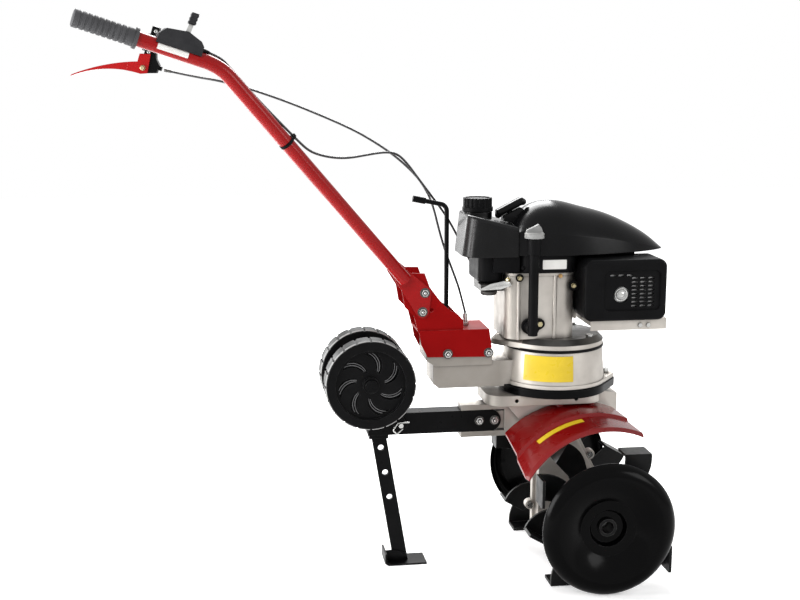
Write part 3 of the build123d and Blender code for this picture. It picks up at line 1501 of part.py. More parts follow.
with BuildPart() as fuel_cap:
    with BuildSketch(Plane.XY.offset(cap_bottom)):
        with Locations((cap_x, 0)):
            Circle(cap_radius - 2.0)
            with PolarLocations(cap_radius - 1.0, 18):
                Circle(3.0, mode=Mode.SUBTRACT)
    extrude(amount=cap_height)
    with BuildSketch(Plane.XY.offset(cap_bottom)):
        with Locations((cap_x, 0)):
            Circle(cap_radius)
    extrude(amount=cap_flange)
    with BuildSketch(Plane.XY.offset(cap_bottom + cap_height)):
        with Locations((cap_x, 0)):
            Circle(cap_radius - 7.0)
    extrude(amount=-2.0, mode=Mode.SUBTRACT)
    with BuildSketch(Plane.XY.offset(cap_bottom)):
        with Locations((cap_x, 0)):
            Circle(neck_radius + 2 * moving_gap)
    extrude(amount=cap_height * 0.8, mode=Mode.SUBTRACT)
save(fuel_cap, "fuel_cap")

# Oil filler tube on the crankcase side, and its winged dipstick cap
filler_place = (crank_x + filler_x, -filler_offset)
filler_foot_z = base_top + 29.0
ear_place = (crank_x + filler_x + 22.0, filler_foot_z + 5.0)
filler_bore = 8.5
with BuildPart() as oil_filler:
    with BuildSketch(at_y(-block_side)):
        with BuildSketch(mode=Mode.PRIVATE) as ear_outline:
            with Locations((filler_place[0], filler_foot_z)):
                Circle(17.0)
            with Locations(ear_place):
                Circle(11.0)
        make_hull(ear_outline.sketch.edges())
    extrude(amount=7.0)
    with BuildSketch(at_y(-block_side)):
        with Locations((filler_place[0], filler_foot_z)):
            Circle(filler_radius + 2.0)
    extrude(amount=filler_offset - block_side + 4.0)
    with BuildSketch(Plane.XY.offset(filler_foot_z - 14.0)):
        with Locations(filler_place):
            Circle(filler_radius)
    extrude(amount=filler_top - filler_foot_z + 14.0)
    with BuildSketch(Plane.XY.offset(filler_top - 34.0)):
        with Locations(filler_place):
            Circle(filler_radius + 3.5)
    extrude(amount=34.0)
    with BuildSketch(Plane.XY.offset(filler_top)):
        with Locations(filler_place):
            Circle(filler_bore)
    extrude(amount=-150.0, mode=Mode.SUBTRACT)
save(oil_filler, "oil_filler")

with BuildPart() as dipstick:
    with BuildSketch(Plane.XY.offset(filler_top + moving_gap)):
        with Locations(filler_place):
            Circle(dipstick_radius)
    extrude(amount=12.0)
    chamfer(dipstick.faces().sort_by(Axis.Z)[-1].edges(), length=2.5)
    with BuildSketch(at_y(-filler_offset + 3.5)):
        with BuildLine():
            Polyline(
                (filler_place[0] - dipstick_radius + 2.0, filler_top + 9.0),
                (filler_place[0] - dipstick_radius + 3.0, filler_top + 17.0),
                (filler_place[0] + 8.0, filler_top + 29.0),
                (filler_place[0] + 14.0, filler_top + 22.0),
                (filler_place[0] + dipstick_radius - 2.0, filler_top + 9.0),
                close=True,
            )
        make_face()
    extrude(amount=7.0)
    with BuildSketch(Plane.XY.offset(filler_top + moving_gap)):
        with Locations(filler_place):
            Circle(filler_bore - moving_gap)
    extrude(amount=-16.0)
    with BuildSketch(Plane.XY.offset(filler_top)):
        with Locations(filler_place):
            Circle(2.5)
    extrude(amount=-130.0)
save(dipstick, "dipstick")

# Air cleaner under the tank, and the carburettor between it and the crankcase
block_rear = block_x - block_length / 2
cleaner_length = 53.0
cleaner_half_width = 64.0
cleaner_bottom = tank_bottom - 58.0
cleaner_front = block_rear - 4.0
with BuildPart() as air_cleaner:
    with BuildSketch(Plane.XY.offset(cleaner_bottom)):
        with Locations((cleaner_front - cleaner_length / 2, 0)):
            RectangleRounded(cleaner_length, 2 * cleaner_half_width, 20.0)
    extrude(amount=tank_bottom - cleaner_bottom)
    fillet(air_cleaner.faces().sort_by(Axis.Z)[0].edges(), 8.0)
    with BuildSketch(Plane.XY.offset(block_top + 2.0)):
        with Locations(((cleaner_front - 24.0 + blower_rear - 0.5) / 2, 0)):
            Rectangle(blower_rear - 0.5 - cleaner_front + 24.0, 2 * cleaner_half_width + 20.0)
    extrude(amount=tank_bottom - block_top - 2.0)
save(air_cleaner, "air_cleaner")

carburettor_half = 38.0
with BuildPart() as carburettor:
    with Locations((block_rear - 24.0, 0, cleaner_bottom - 10.0)):
        Box(48.0, 2 * carburettor_half, 20.0)
    with Locations((block_rear - 28.0, -55.0, cleaner_bottom - 1.5)):
        Box(56.0, 40.0, 3.0)
save(carburettor, "carburettor")

# Cylinder with cooling fins and the ledge under the muffler
ledge_top = base_top + 43.0
cylinder_bottom = base_top + 33.0
cylinder_top = block_top - 3.0
fin_count = 8
fin_pitch = (cylinder_length - 14.0) / fin_count
with BuildPart() as cylinder:
    with Locations((block_front + cylinder_length / 2, 25.0, (cylinder_bottom + cylinder_top) / 2)):
        Box(cylinder_length, 76.0, cylinder_top - cylinder_bottom - 34.0)
    for fin in range(fin_count):
        fin_x = block_front + 12.0 + fin * fin_pitch
        with Locations((fin_x, 25.0, (cylinder_bottom + cylinder_top) / 2)):
            Box(4.0, 110.0, cylinder_top - cylinder_bottom)
    with Locations((block_front + 110.0, -20.0, ledge_top - 7.0)):
        Box(168.0, 160.0, 14.0)
    with Locations((block_front + 110.0, -98.5, ledge_top - 12.0)):
        Box(168.0, 3.0, 24.0)
save(cylinder, "cylinder")

# Muffler, and its guard with a recessed, slotted front
guard_rear = block_front + 5.0
guard_x = guard_rear + guard_length / 2
guard_z = ledge_top + guard_height / 2
guard_back_y = guard_face_y + guard_depth
muffler_outlet = (guard_rear + 81.0, ledge_top + 56.0)
with BuildPart() as muffler:
    with Locations((guard_x + 14.0, (guard_face_y + guard_back_y) / 2 + 2.0, guard_z)):
        Box(104.0, guard_depth - 20.0, 92.0)
    fillet(muffler.edges().filter_by(Axis.Y), 12.0)
    with BuildSketch(at_y(guard_back_y - 20.0)):
        with Locations((guard_x + 10.0, guard_z)):
            Circle(14.0)
    extrude(amount=-26.0)
    with BuildSketch(at_y(guard_face_y + 14.0)):
        with Locations(muffler_outlet):
            Circle(10.0)
            Circle(7.0, mode=Mode.SUBTRACT)
    extrude(amount=9.0)
save(muffler, "muffler")

guard_face = 7.0
panel_recess = 4.0
panel_x = guard_rear + 104.0
panel_z = ledge_top + 65.0
outlet_recess = 17.0
with BuildPart() as muffler_guard:
    with Locations((guard_x, guard_face_y + guard_depth / 2, guard_z)):
        Box(guard_length, guard_depth, guard_height)
    fillet(muffler_guard.edges().filter_by(Axis.Y), 18.0)
    fillet(muffler_guard.faces().sort_by(Axis.Y)[0].edges(), 7.0)
    with BuildSketch(at_y(guard_face_y + guard_depth)):
        with Locations((guard_x, guard_z)):
            RectangleRounded(guard_length - 2 * guard_wall, guard_height - 2 * guard_wall, 15.0)
    extrude(amount=guard_depth - guard_face, mode=Mode.SUBTRACT)
    with BuildSketch(at_y(guard_face_y)):
        with Locations((panel_x, panel_z)):
            RectangleRounded(124.0, 86.0, 12.0)
    extrude(amount=-panel_recess, mode=Mode.SUBTRACT)
    with BuildSketch(at_y(guard_face_y + guard_face)):
        with Locations(muffler_outlet):
            Circle(outlet_recess)
        with Locations((panel_x + 24.0, panel_z - 4.0)):
            with GridLocations(18.0, 8.5, 3, 8):
                SlotOverall(14.0, 4.0)
        with Locations((panel_x - 24.0, panel_z + 32.0)):
            with GridLocations(18.0, 8.5, 3, 1):
                SlotOverall(14.0, 4.0)
    extrude(amount=guard_face, mode=Mode.SUBTRACT)
save(muffler_guard, "muffler_guard")

# Spark plug on the cylinder head
with BuildPart() as spark_plug:
    with BuildSketch(Plane.YZ.offset(block_front + cylinder_length)):
        with Locations((25.0, (cylinder_bottom + cylinder_top) / 2)):
            RegularPolygon(10.0, 6)
    extrude(amount=10.0)
    with BuildSketch(Plane.YZ.offset(block_front + cylinder_length + 10.0)):
        with Locations((25.0, (cylinder_bottom + cylinder_top) / 2)):
            Circle(8.0)
    extrude(amount=30.0)
save(spark_plug, "spark_plug")

# Engine screws: ledge, base, filler ear and bell lug
with BuildPart() as engine_screws:
    for shift in (109.0, 127.0):
        add(hex_bolt(turned(block_front + 26.0 + shift, -100.0, ledge_top - 14.0, 0), 2.5, 0, 3.0))
    for side in (-1, 1):
        add(hex_bolt(Plane(origin=(crank_x + 62.0, side * 66.0, base_top)), 4.0, 0))
    add(hex_bolt(turned(ear_place[0], -block_side - 7.0, ear_place[1], 0), 3.0, 0, 4.0))
    add(hex_bolt(Plane(origin=(lug_x, 0, ring_top + bell_lug_height)), case_screw_radius,
                 ring_height + bell_lug_height, 10.0))
save(engine_screws, "engine_screws")

# Clutch cable from the perch ferrule down to the adjuster
clutch_cable = cable(
    [(-428.4, 242.5, 1076.0), (-370, 222, 1063), (-312, 190, 1054), (-255, 174, 1039), (-198, 161, 1020),
     (-147, 149, 1001), (-101, 136, 982), (-59, 121, 964), (-19, 106, 945), (18, 90, 923), (53, 74, 899),
     (83, 60, 873), (108, 48, 846), (126, 40, 816), (138, 34, 783), (146, 29, 747), (156, 24, 709),
     (167, 18, 675), (179, 11, 642), (191, 5, 607), (202, 0, 559)],
    cable_radius,
)
save(clutch_cable, "clutch_cable")

# Throttle cable from the housing, along the right bar and across to the carburettor's left side
throttle_cable = cable(
    [(-346.8, -227.9, 1115.8), (-314, -220, 1110), (-289, -211.5, 1085), (-248, -193.5, 1037),
     (-209, -178.5, 990), (-169, -162, 945), (-145, -150, 922), (-116, -134, 911), (-85, -114, 905),
     (-55, -94, 904), (-20, -72, 908),
     (20, -50, 912), (48, -34, 907), (71, -18, 886), (97, -1, 853), (127, 18, 816), (156, 42, 781),
     (179, 66, 750), (202, 90, 713), (225, 98, 671), (241, 90, 637), (250, 68, 620), (252, 38.3, 617)],
    cable_radius,
)
save(throttle_cable, "throttle_cable")

# Tie that holds the throttle cable to the right bar
tie_spot = Vector(-176, -164.8, 952.5)
bar_way = (foot - bend).normalized()
tie_axis_spot = bend + bar_way * (tie_spot - bend).dot(bar_way)
tie_lift = tie_spot - tie_axis_spot
tie_plane = Plane(origin=tie_axis_spot - bar_way * 3.0, x_dir=tie_lift.normalized(), z_dir=bar_way)
with BuildPart() as cable_tie:
    with BuildSketch(tie_plane):
        with BuildSketch(mode=Mode.PRIVATE) as tie_outline:
            Circle(tube_radius + 1.6)
            with Locations((tie_lift.length, 0)):
                Circle(cable_radius + 2.5)
        make_hull(tie_outline.sketch.edges())
        Circle(tube_radius + seat_gap, mode=Mode.SUBTRACT)
        with Locations((tie_lift.length, 0)):
            Circle(cable_radius + 0.8, mode=Mode.SUBTRACT)
    extrude(amount=6.0)
save(cable_tie, "cable_tie")
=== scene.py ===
# %% [markdown]
# # Garden tiller
# The solids of the machine come packed as a fixed frame. This lesson gives every one of them a finish,
# adds the cables, the rope, the blank plates and the small trim, and sets up a plain studio around them.
# The frame has +X forward, +Z up and the machine's right side at -Y. Blender works in metres. Places and
# sizes of the new pieces are written in millimetres, as a maker would, and scaled where they are used.

# %% Load the frame
import math

import bmesh
import bpy
from mathutils import Matrix, Vector
from mathutils.geometry import intersect_line_line


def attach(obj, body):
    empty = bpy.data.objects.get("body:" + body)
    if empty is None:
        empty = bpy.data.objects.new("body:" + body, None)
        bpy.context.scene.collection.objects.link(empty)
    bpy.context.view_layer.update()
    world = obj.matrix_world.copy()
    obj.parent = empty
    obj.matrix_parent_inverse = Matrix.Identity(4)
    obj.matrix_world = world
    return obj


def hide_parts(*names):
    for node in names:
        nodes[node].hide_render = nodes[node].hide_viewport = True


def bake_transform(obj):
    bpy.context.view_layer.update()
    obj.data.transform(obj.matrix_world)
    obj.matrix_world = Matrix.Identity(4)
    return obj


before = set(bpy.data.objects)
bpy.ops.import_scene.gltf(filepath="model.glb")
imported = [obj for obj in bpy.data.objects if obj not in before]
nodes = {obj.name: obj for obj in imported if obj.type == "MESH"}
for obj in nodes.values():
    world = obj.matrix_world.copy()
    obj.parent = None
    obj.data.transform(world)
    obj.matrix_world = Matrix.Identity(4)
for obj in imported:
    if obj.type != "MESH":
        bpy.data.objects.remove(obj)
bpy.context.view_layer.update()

mm = 0.001

# %% [markdown]
# ## Camera
# The picture was taken from the machine's right, a little from behind and a little from above, with a
# long lens. A camera can be aimed by a constraint or turned by hand. Working out its place from the two
# angles and the distance keeps the numbers readable.

# %% Camera
target = Vector((0.059, 0.0, 0.591))
azimuth = math.radians(-8.6)
elevation = math.radians(10.46)
distance = 2.795
look = Vector((
    -math.sin(azimuth) * math.cos(elevation),
    math.cos(azimuth) * math.cos(elevation),
    -math.sin(elevation),
))
camera = bpy.data.objects.new("camera", bpy.data.cameras.new("camera"))
camera.data.sensor_width = 36.0
camera.data.lens = 58.5
camera.location = target - look * distance
camera.rotation_euler = look.to_track_quat("-Z", "Y").to_euler()
bpy.context.scene.collection.objects.link(camera)
bpy.context.scene.camera = camera
print("camera at", [round(v, 3) for v in camera.location])

# %% [markdown]
# ## Finishes
# Paint, castings and mouldings differ in three ways: how the colour wanders, how the gloss wanders and
# how rough the skin is. Image textures could show that, but noise on the object's own coordinates has no
# seams and stays put when a piece moves. Each finish below is one shader with a noise for each of the
# three, and a bevel node that rounds the light at edges which the solids leave sharp.

# %% A shader, a noise and a ruler
def new_finish(name, **sockets):
    """A material whose shader has the given plain values; an underscore stands for a space."""
    made = bpy.data.materials.new(name)
    made.use_nodes = True
    shader = made.node_tree.nodes["Principled BSDF"]
    for socket, value in sockets.items():
        shader.inputs[socket.replace("_", " ")].default_value = value
    return made


def grain(made, scale, detail=4.0):
    """Noise on the piece's own coordinates, as an output to link from."""
    tree = made.node_tree
    place = tree.nodes.new("ShaderNodeTexCoord")
    pattern = tree.nodes.new("ShaderNodeTexNoise")
    pattern.inputs["Scale"].default_value = scale
    pattern.inputs["Detail"].default_value = detail
    tree.links.new(place.outputs["Object"], pattern.inputs["Vector"])
    return pattern.outputs["Fac"]


def spread(made, value, from_low, from_high, to_low, to_high):
    """Map one range of a value onto another."""
    tree = made.node_tree
    ruler = tree.nodes.new("ShaderNodeMapRange")
    ruler.inputs["From Min"].default_value = from_low
    ruler.inputs["From Max"].default_value = from_high
    ruler.inputs["To Min"].default_value = to_low
    ruler.inputs["To Max"].default_value = to_high
    tree.links.new(value, ruler.inputs["Value"])
    return ruler.outputs["Result"]


noise_low = 0.3
noise_high = 0.7
print("noise is used from", noise_low, "to", noise_high)

# %% Wander of the colour and the gloss, and the skin
def colour_wander(made, pattern, low, high):
    """Spread the colour between two tones along a pattern."""
    tree = made.node_tree
    ramp = tree.nodes.new("ShaderNodeValToRGB")
    ramp.color_ramp.elements[0].position = noise_low
    ramp.color_ramp.elements[1].position = noise_high
    ramp.color_ramp.elements[0].color = (*low, 1.0)
    ramp.color_ramp.elements[1].color = (*high, 1.0)
    tree.links.new(pattern, ramp.inputs["Fac"])
    tree.links.new(ramp.outputs["Color"], tree.nodes["Principled BSDF"].inputs["Base Color"])


def gloss_wander(made, pattern, low, high):
    """Spread the roughness between two values along a pattern."""
    tree = made.node_tree
    gloss = spread(made, pattern, noise_low, noise_high, low, high)
    tree.links.new(gloss, tree.nodes["Principled BSDF"].inputs["Roughness"])


def rounded_normal(made, radius):
    """The normal as it would be with every edge rounded to a radius."""
    rounding = made.node_tree.nodes.new("ShaderNodeBevel")
    rounding.samples = 6
    rounding.inputs["Radius"].default_value = radius
    return rounding.outputs["Normal"]


def skin(made, pattern, strength, depth, edge):
    """Bump from a pattern, laid over edges that are rounded to a radius."""
    tree = made.node_tree
    bump = tree.nodes.new("ShaderNodeBump")
    bump.inputs["Strength"].default_value = strength
    bump.inputs["Distance"].default_value = depth
    tree.links.new(pattern, bump.inputs["Height"])
    tree.links.new(rounded_normal(made, edge), bump.inputs["Normal"])
    tree.links.new(bump.outputs["Normal"], tree.nodes["Principled BSDF"].inputs["Normal"])


gloss_to_colour = 2.3


def wandering(name, low, high, gloss, colour_scale, skin_scale, strength, depth, edge, **sockets):
    """A finish with all three kinds of wander; the gloss wanders on a finer noise than the colour."""
    made = new_finish(name, **sockets)
    colour_wander(made, grain(made, colour_scale), low, high)
    gloss_wander(made, grain(made, colour_scale * gloss_to_colour, detail=6.0), *gloss)
    skin(made, grain(made, skin_scale, detail=3.0), strength, depth, edge)
    return made


print("the gloss wanders", gloss_to_colour, "times as finely as the colour")

# %% [markdown]
# ## Edge wear, painted highlights and painted shade
# A machine is rubbed pale along its edges; here the pale edges also paint the highlights that light
# draws along them, and corners get painted shade. Both could be painted by hand
# onto an image. Here a second tone is laid over the first by an amount that the shader measures itself:
# how far the rounded normal turns away at an edge, or how sheltered a spot is.

# %% Edge wear, painted highlights and painted shade
def lay_tone(made, tone, amount):
    """Lay a tone over the colour that the shader has so far, by an amount."""
    tree = made.node_tree
    base = tree.nodes["Principled BSDF"].inputs["Base Color"]
    painted = base.links[0].from_socket
    blend = tree.nodes.new("ShaderNodeMix")
    blend.data_type = "RGBA"
    colours = [socket for socket in blend.inputs if socket.type == "RGBA"]
    colours[1].default_value = (*tone, 1.0)
    tree.links.new(amount, blend.inputs["Factor"])
    tree.links.new(painted, colours[0])
    tree.links.new(next(socket for socket in blend.outputs if socket.type == "RGBA"), base)


def product(made, one, other):
    """Two values multiplied, as an output to link from."""
    tree = made.node_tree
    times = tree.nodes.new("ShaderNodeMath")
    times.operation = "MULTIPLY"
    tree.links.new(one, times.inputs[0])
    tree.links.new(other, times.inputs[1])
    return times.outputs["Value"]


def wear_and_highlight_edges(made, tone, width, share):
    """Let a lighter tone through in patches along the edges: partly wear, partly a painted highlight where
    light catches them.
    """
    tree = made.node_tree
    flat = tree.nodes.new("ShaderNodeNewGeometry")
    likeness = tree.nodes.new("ShaderNodeVectorMath")
    likeness.operation = "DOT_PRODUCT"
    tree.links.new(flat.outputs["Normal"], likeness.inputs[0])
    tree.links.new(rounded_normal(made, width), likeness.inputs[1])
    near_edge = spread(made, likeness.outputs["Value"], from_low=0.995, from_high=0.85,
                       to_low=0.0, to_high=share)
    patches = spread(made, grain(made, scale=90.0, detail=5.0), from_low=0.42, from_high=0.58,
                     to_low=0.15, to_high=1.0)
    lay_tone(made, tone, product(made, near_edge, patches))


def paint_corner_shade(made, tone, reach, share):
    """Paint shade into corners and onto the ground around what is bolted on, by how closed in each spot is.
    """
    shelter = made.node_tree.nodes.new("ShaderNodeAmbientOcclusion")
    shelter.samples = 8
    shelter.inputs["Distance"].default_value = reach
    closed_in = spread(made, shelter.outputs["AO"], from_low=0.95, from_high=0.25,
                       to_low=0.0, to_high=share)
    lay_tone(made, tone, closed_in)


print("wear and dirt ready")

# %% [markdown]
# ## Tones by place
# The tread of a wheel gets a painted highlight on its shoulders, and the castings get painted shade over
# their rear, where the bell housing's arm lies under the bracket. Vertex colours could mark such places,
# but the solids' meshes stay as they are, so the shader reads where a spot lies on the machine and which way
# it faces.

# %% Tones by place
def paint_shoulder_highlight(made, centre, radius, tone, share):
    """Paint a pale highlight on a wheel's tread beyond a radius, where the face leans sideways."""
    tree = made.node_tree
    place = tree.nodes.new("ShaderNodeTexCoord")
    shifted = tree.nodes.new("ShaderNodeVectorMath")
    shifted.operation = "SUBTRACT"
    shifted.inputs[1].default_value = centre
    tree.links.new(place.outputs["Object"], shifted.inputs[0])
    flattened = tree.nodes.new("ShaderNodeVectorMath")
    flattened.operation = "MULTIPLY"
    flattened.inputs[1].default_value = (1.0, 0.0, 1.0)
    tree.links.new(shifted.outputs["Vector"], flattened.inputs[0])
    reach = tree.nodes.new("ShaderNodeVectorMath")
    reach.operation = "LENGTH"
    tree.links.new(flattened.outputs["Vector"], reach.inputs[0])
    parts = tree.nodes.new("ShaderNodeSeparateXYZ")
    tree.links.new(place.outputs["Normal"], parts.inputs["Vector"])
    lean = tree.nodes.new("ShaderNodeMath")
    lean.operation = "ABSOLUTE"
    tree.links.new(parts.outputs["Y"], lean.inputs[0])
    outside = spread(made, reach.outputs["Value"], from_low=radius, from_high=radius + 0.6 * mm,
                     to_low=0.0, to_high=share)
    sideways = spread(made, lean.outputs["Value"], from_low=0.35, from_high=0.6, to_low=0.0, to_high=1.0)
    lay_tone(made, tone, product(made, outside, sideways))


def tone_behind(made, tone, rear, front, share):
    """Lay a tone over what lies behind a distance along the machine, fading out towards the front."""
    tree = made.node_tree
    place = tree.nodes.new("ShaderNodeTexCoord")
    parts = tree.nodes.new("ShaderNodeSeparateXYZ")
    tree.links.new(place.outputs["Object"], parts.inputs["Vector"])
    behind = spread(made, parts.outputs["X"], from_low=front, from_high=rear, to_low=0.0, to_high=share)
    lay_tone(made, tone, behind)


print("tones by place ready")

# %% [markdown]
# ## Paints
# The sheet metal is painted red or black. The fenders shine most, so their red is deep under a clear
# coat; the bars shine less and the bracket hardly. One red for all could be tuned by its roughness alone,
# but the pieces differ in tone too, so each has its own paint from the same helper.

# %% Red paints
red_paint = wandering(
    "red_paint", low=(0.150, 0.0022, 0.0024), high=(0.195, 0.0032, 0.0034), gloss=(0.22, 0.32),
    colour_scale=9.0, skin_scale=420.0, strength=0.08, depth=0.0004, edge=0.0012,
    Specular_IOR_Level=0.12, Coat_Weight=0.36, Coat_Roughness=0.04)
# Paler red along the edges: partly wear, partly a painted highlight.
wear_and_highlight_edges(red_paint, tone=(0.48, 0.06, 0.05), width=0.0012, share=0.5)
bar_paint = wandering(
    "bar_paint", low=(0.24, 0.0032, 0.0037), high=(0.285, 0.0044, 0.005), gloss=(0.20, 0.28),
    colour_scale=9.0, skin_scale=420.0, strength=0.04, depth=0.0003, edge=0.0012,
    Specular_IOR_Level=0.16, Coat_Weight=0.05, Coat_Roughness=0.08)
bracket_paint = wandering(
    "bracket_paint", low=(0.205, 0.0026, 0.0028), high=(0.25, 0.0036, 0.004), gloss=(0.30, 0.42),
    colour_scale=9.0, skin_scale=420.0, strength=0.08, depth=0.0004, edge=0.0012,
    Specular_IOR_Level=0.035)
# Paler red along the bracket's edges: partly wear, partly a painted highlight.
wear_and_highlight_edges(bracket_paint, tone=(0.45, 0.05, 0.045), width=0.0014, share=0.6)
print("red paints:", red_paint.name, bar_paint.name, bracket_paint.name)

# %% Black paints
black_paint = wandering(
    "black_paint", low=(0.0020, 0.0020, 0.0022), high=(0.0045, 0.0045, 0.0048), gloss=(0.26, 0.40),
    colour_scale=14.0, skin_scale=600.0, strength=0.15, depth=0.0003, edge=0.0012,
    Specular_IOR_Level=0.06)
# Grey along the black paint's edges: partly wear, partly a painted highlight.
wear_and_highlight_edges(black_paint, tone=(0.06, 0.06, 0.06), width=0.0014, share=0.6)
tine_paint = wandering(
    "tine_paint", low=(0.0020, 0.0020, 0.0022), high=(0.0050, 0.0050, 0.0052), gloss=(0.28, 0.44),
    colour_scale=18.0, skin_scale=500.0, strength=0.20, depth=0.0003, edge=0.0012,
    Specular_IOR_Level=0.14)
# Grey along the tines' edges: partly worn bare steel, partly a painted highlight.
wear_and_highlight_edges(tine_paint, tone=(0.12, 0.12, 0.115), width=0.0016, share=0.8)
gloss_black_paint = wandering(
    "gloss_black_paint", low=(0.0003, 0.0003, 0.0004), high=(0.0008, 0.0008, 0.0009), gloss=(0.15, 0.22),
    colour_scale=14.0, skin_scale=500.0, strength=0.08, depth=0.0003, edge=0.0015,
    Specular_IOR_Level=0.07)
# Grey along the discs' rims and edges: partly wear, partly a painted highlight.
wear_and_highlight_edges(gloss_black_paint, tone=(0.05, 0.05, 0.05), width=0.0014, share=0.6)
print("black paints:", black_paint.name, tine_paint.name, gloss_black_paint.name)

# %% [markdown]
# ## Mouldings and rubber
# The engine's cover, tank and guard, the wheels and the controls are moulded. They are all near black and
# could share one material, but light tells them apart: the cover and tank are smooth, the guard and the
# blower are matt, and the grips are soft and grey.

# %% Mouldings of the engine
black_plastic = wandering(
    "black_plastic", low=(0.0028, 0.0028, 0.0031), high=(0.0055, 0.0055, 0.0059), gloss=(0.40, 0.54),
    colour_scale=20.0, skin_scale=1400.0, strength=0.25, depth=0.0003, edge=0.0015,
    Specular_IOR_Level=0.06)
gloss_black = wandering(
    "gloss_black", low=(0.0028, 0.0028, 0.0031), high=(0.0055, 0.0055, 0.0059), gloss=(0.17, 0.25),
    colour_scale=12.0, skin_scale=900.0, strength=0.08, depth=0.0003, edge=0.002,
    Specular_IOR_Level=0.11)
tank_plastic = wandering(
    "tank_plastic", low=(0.0010, 0.0010, 0.0012), high=(0.0024, 0.0024, 0.0026), gloss=(0.20, 0.30),
    colour_scale=12.0, skin_scale=900.0, strength=0.12, depth=0.0003, edge=0.002,
    Specular_IOR_Level=0.24)
print("mouldings of the engine:", black_plastic.name, gloss_black.name, tank_plastic.name)

# %% Mouldings of the wheels and the controls
axle_place = Vector((-14.2, 0.0, 423.2))
shoulder_radius = 94.4
wheel_plastic = wandering(
    "wheel_plastic", low=(0.0020, 0.0020, 0.0022), high=(0.0046, 0.0046, 0.0049), gloss=(0.32, 0.46),
    colour_scale=24.0, skin_scale=1100.0, strength=0.20, depth=0.0003, edge=0.0012,
    Specular_IOR_Level=0.07)
# Grey along the wheels' edges and pockets: a painted highlight, with some wear.
wear_and_highlight_edges(wheel_plastic, tone=(0.05, 0.05, 0.05), width=0.0014, share=0.7)
# Painted highlight: the tread's shoulders are pale, as where light catches the block edges.
paint_shoulder_highlight(wheel_plastic, axle_place * mm, shoulder_radius * mm, tone=(0.34, 0.34, 0.335), share=0.95)
# The ribs are the wheel's own black plastic, coloured much lighter as a painted highlight so they glint.
rib_highlight_plastic = wandering(
    "rib_highlight_plastic", low=(0.085, 0.085, 0.087), high=(0.13, 0.13, 0.132), gloss=(0.18, 0.28),
    colour_scale=24.0, skin_scale=900.0, strength=0.10, depth=0.0002, edge=0.0006,
    Specular_IOR_Level=0.45)
grey_plastic = wandering(
    "grey_plastic", low=(0.22, 0.22, 0.22), high=(0.30, 0.30, 0.29), gloss=(0.40, 0.55),
    colour_scale=40.0, skin_scale=1200.0, strength=0.20, depth=0.0003, edge=0.0012,
    Specular_IOR_Level=0.35)
knob_plastic = wandering(
    "knob_plastic", low=(0.014, 0.014, 0.016), high=(0.024, 0.024, 0.026), gloss=(0.45, 0.60),
    colour_scale=40.0, skin_scale=1300.0, strength=0.25, depth=0.0003, edge=0.0010,
    Specular_IOR_Level=0.20)
rubber = wandering(
    "rubber", low=(0.050, 0.050, 0.053), high=(0.075, 0.075, 0.079), gloss=(0.52, 0.70),
    colour_scale=30.0, skin_scale=1600.0, strength=0.30, depth=0.0003, edge=0.0012,
    Specular_IOR_Level=0.20)
print("mouldings:", wheel_plastic.name, rib_highlight_plastic.name, grey_plastic.name, knob_plastic.name, rubber.name)

# %% [markdown]
# ## Castings and metals
# The gear case, the bell housing and the engine's block are bare aluminium castings, and the bolts are
# zinc plated, clear or yellow. A full metal would mirror the white room and look polished, so the
# castings are a little less than metal, with a coarse skin, painted shade in their corners and painted
# shade over their rear.

# %% Castings
cast_aluminium = wandering(
    "cast_aluminium", low=(0.42, 0.39, 0.355), high=(0.58, 0.545, 0.50), gloss=(0.34, 0.50),
    colour_scale=16.0, skin_scale=900.0, strength=0.35, depth=0.0005, edge=0.0018,
    Metallic=0.80)
# Painted shade: the castings turn darker behind about 0.3 m, where the bell housing's arm lies under the
# bracket.
tone_behind(cast_aluminium, tone=(0.16, 0.145, 0.125), rear=0.27, front=0.31, share=0.62)
# Painted shade in the castings' corners and around what is bolted to them.
paint_corner_shade(cast_aluminium, tone=(0.045, 0.038, 0.033), reach=0.012, share=0.85)
dark_casting = wandering(
    "dark_casting", low=(0.050, 0.048, 0.045), high=(0.085, 0.082, 0.078), gloss=(0.28, 0.42),
    colour_scale=22.0, skin_scale=900.0, strength=0.25, depth=0.0004, edge=0.0012,
    Metallic=0.6, Specular_IOR_Level=0.3)
print("castings:", cast_aluminium.name, dark_casting.name)

# %% Plated and plain metals
zinc = wandering(
    "zinc", low=(0.48, 0.48, 0.47), high=(0.62, 0.62, 0.60), gloss=(0.18, 0.32),
    colour_scale=60.0, skin_scale=800.0, strength=0.10, depth=0.0002, edge=0.0006,
    Metallic=1.0)
# Painted shade in the corners of the zinc parts and around their seats.
paint_corner_shade(zinc, tone=(0.06, 0.06, 0.058), reach=0.006, share=0.9)
yellow_zinc = wandering(
    "yellow_zinc", low=(0.48, 0.40, 0.22), high=(0.62, 0.54, 0.33), gloss=(0.20, 0.34),
    colour_scale=70.0, skin_scale=800.0, strength=0.10, depth=0.0002, edge=0.0006,
    Metallic=1.0)
# Painted shade in the corners of the yellow zinc parts and around their seats.
paint_corner_shade(yellow_zinc, tone=(0.06, 0.055, 0.04), reach=0.006, share=0.9)
screw_zinc = wandering(
    "screw_zinc", low=(0.48, 0.48, 0.47), high=(0.62, 0.62, 0.60), gloss=(0.18, 0.32),
    colour_scale=60.0, skin_scale=800.0, strength=0.10, depth=0.0002, edge=0.0006,
    Metallic=1.0)
tone_behind(screw_zinc, tone=(0.50, 0.44, 0.26), rear=0.38, front=0.42, share=1.0)
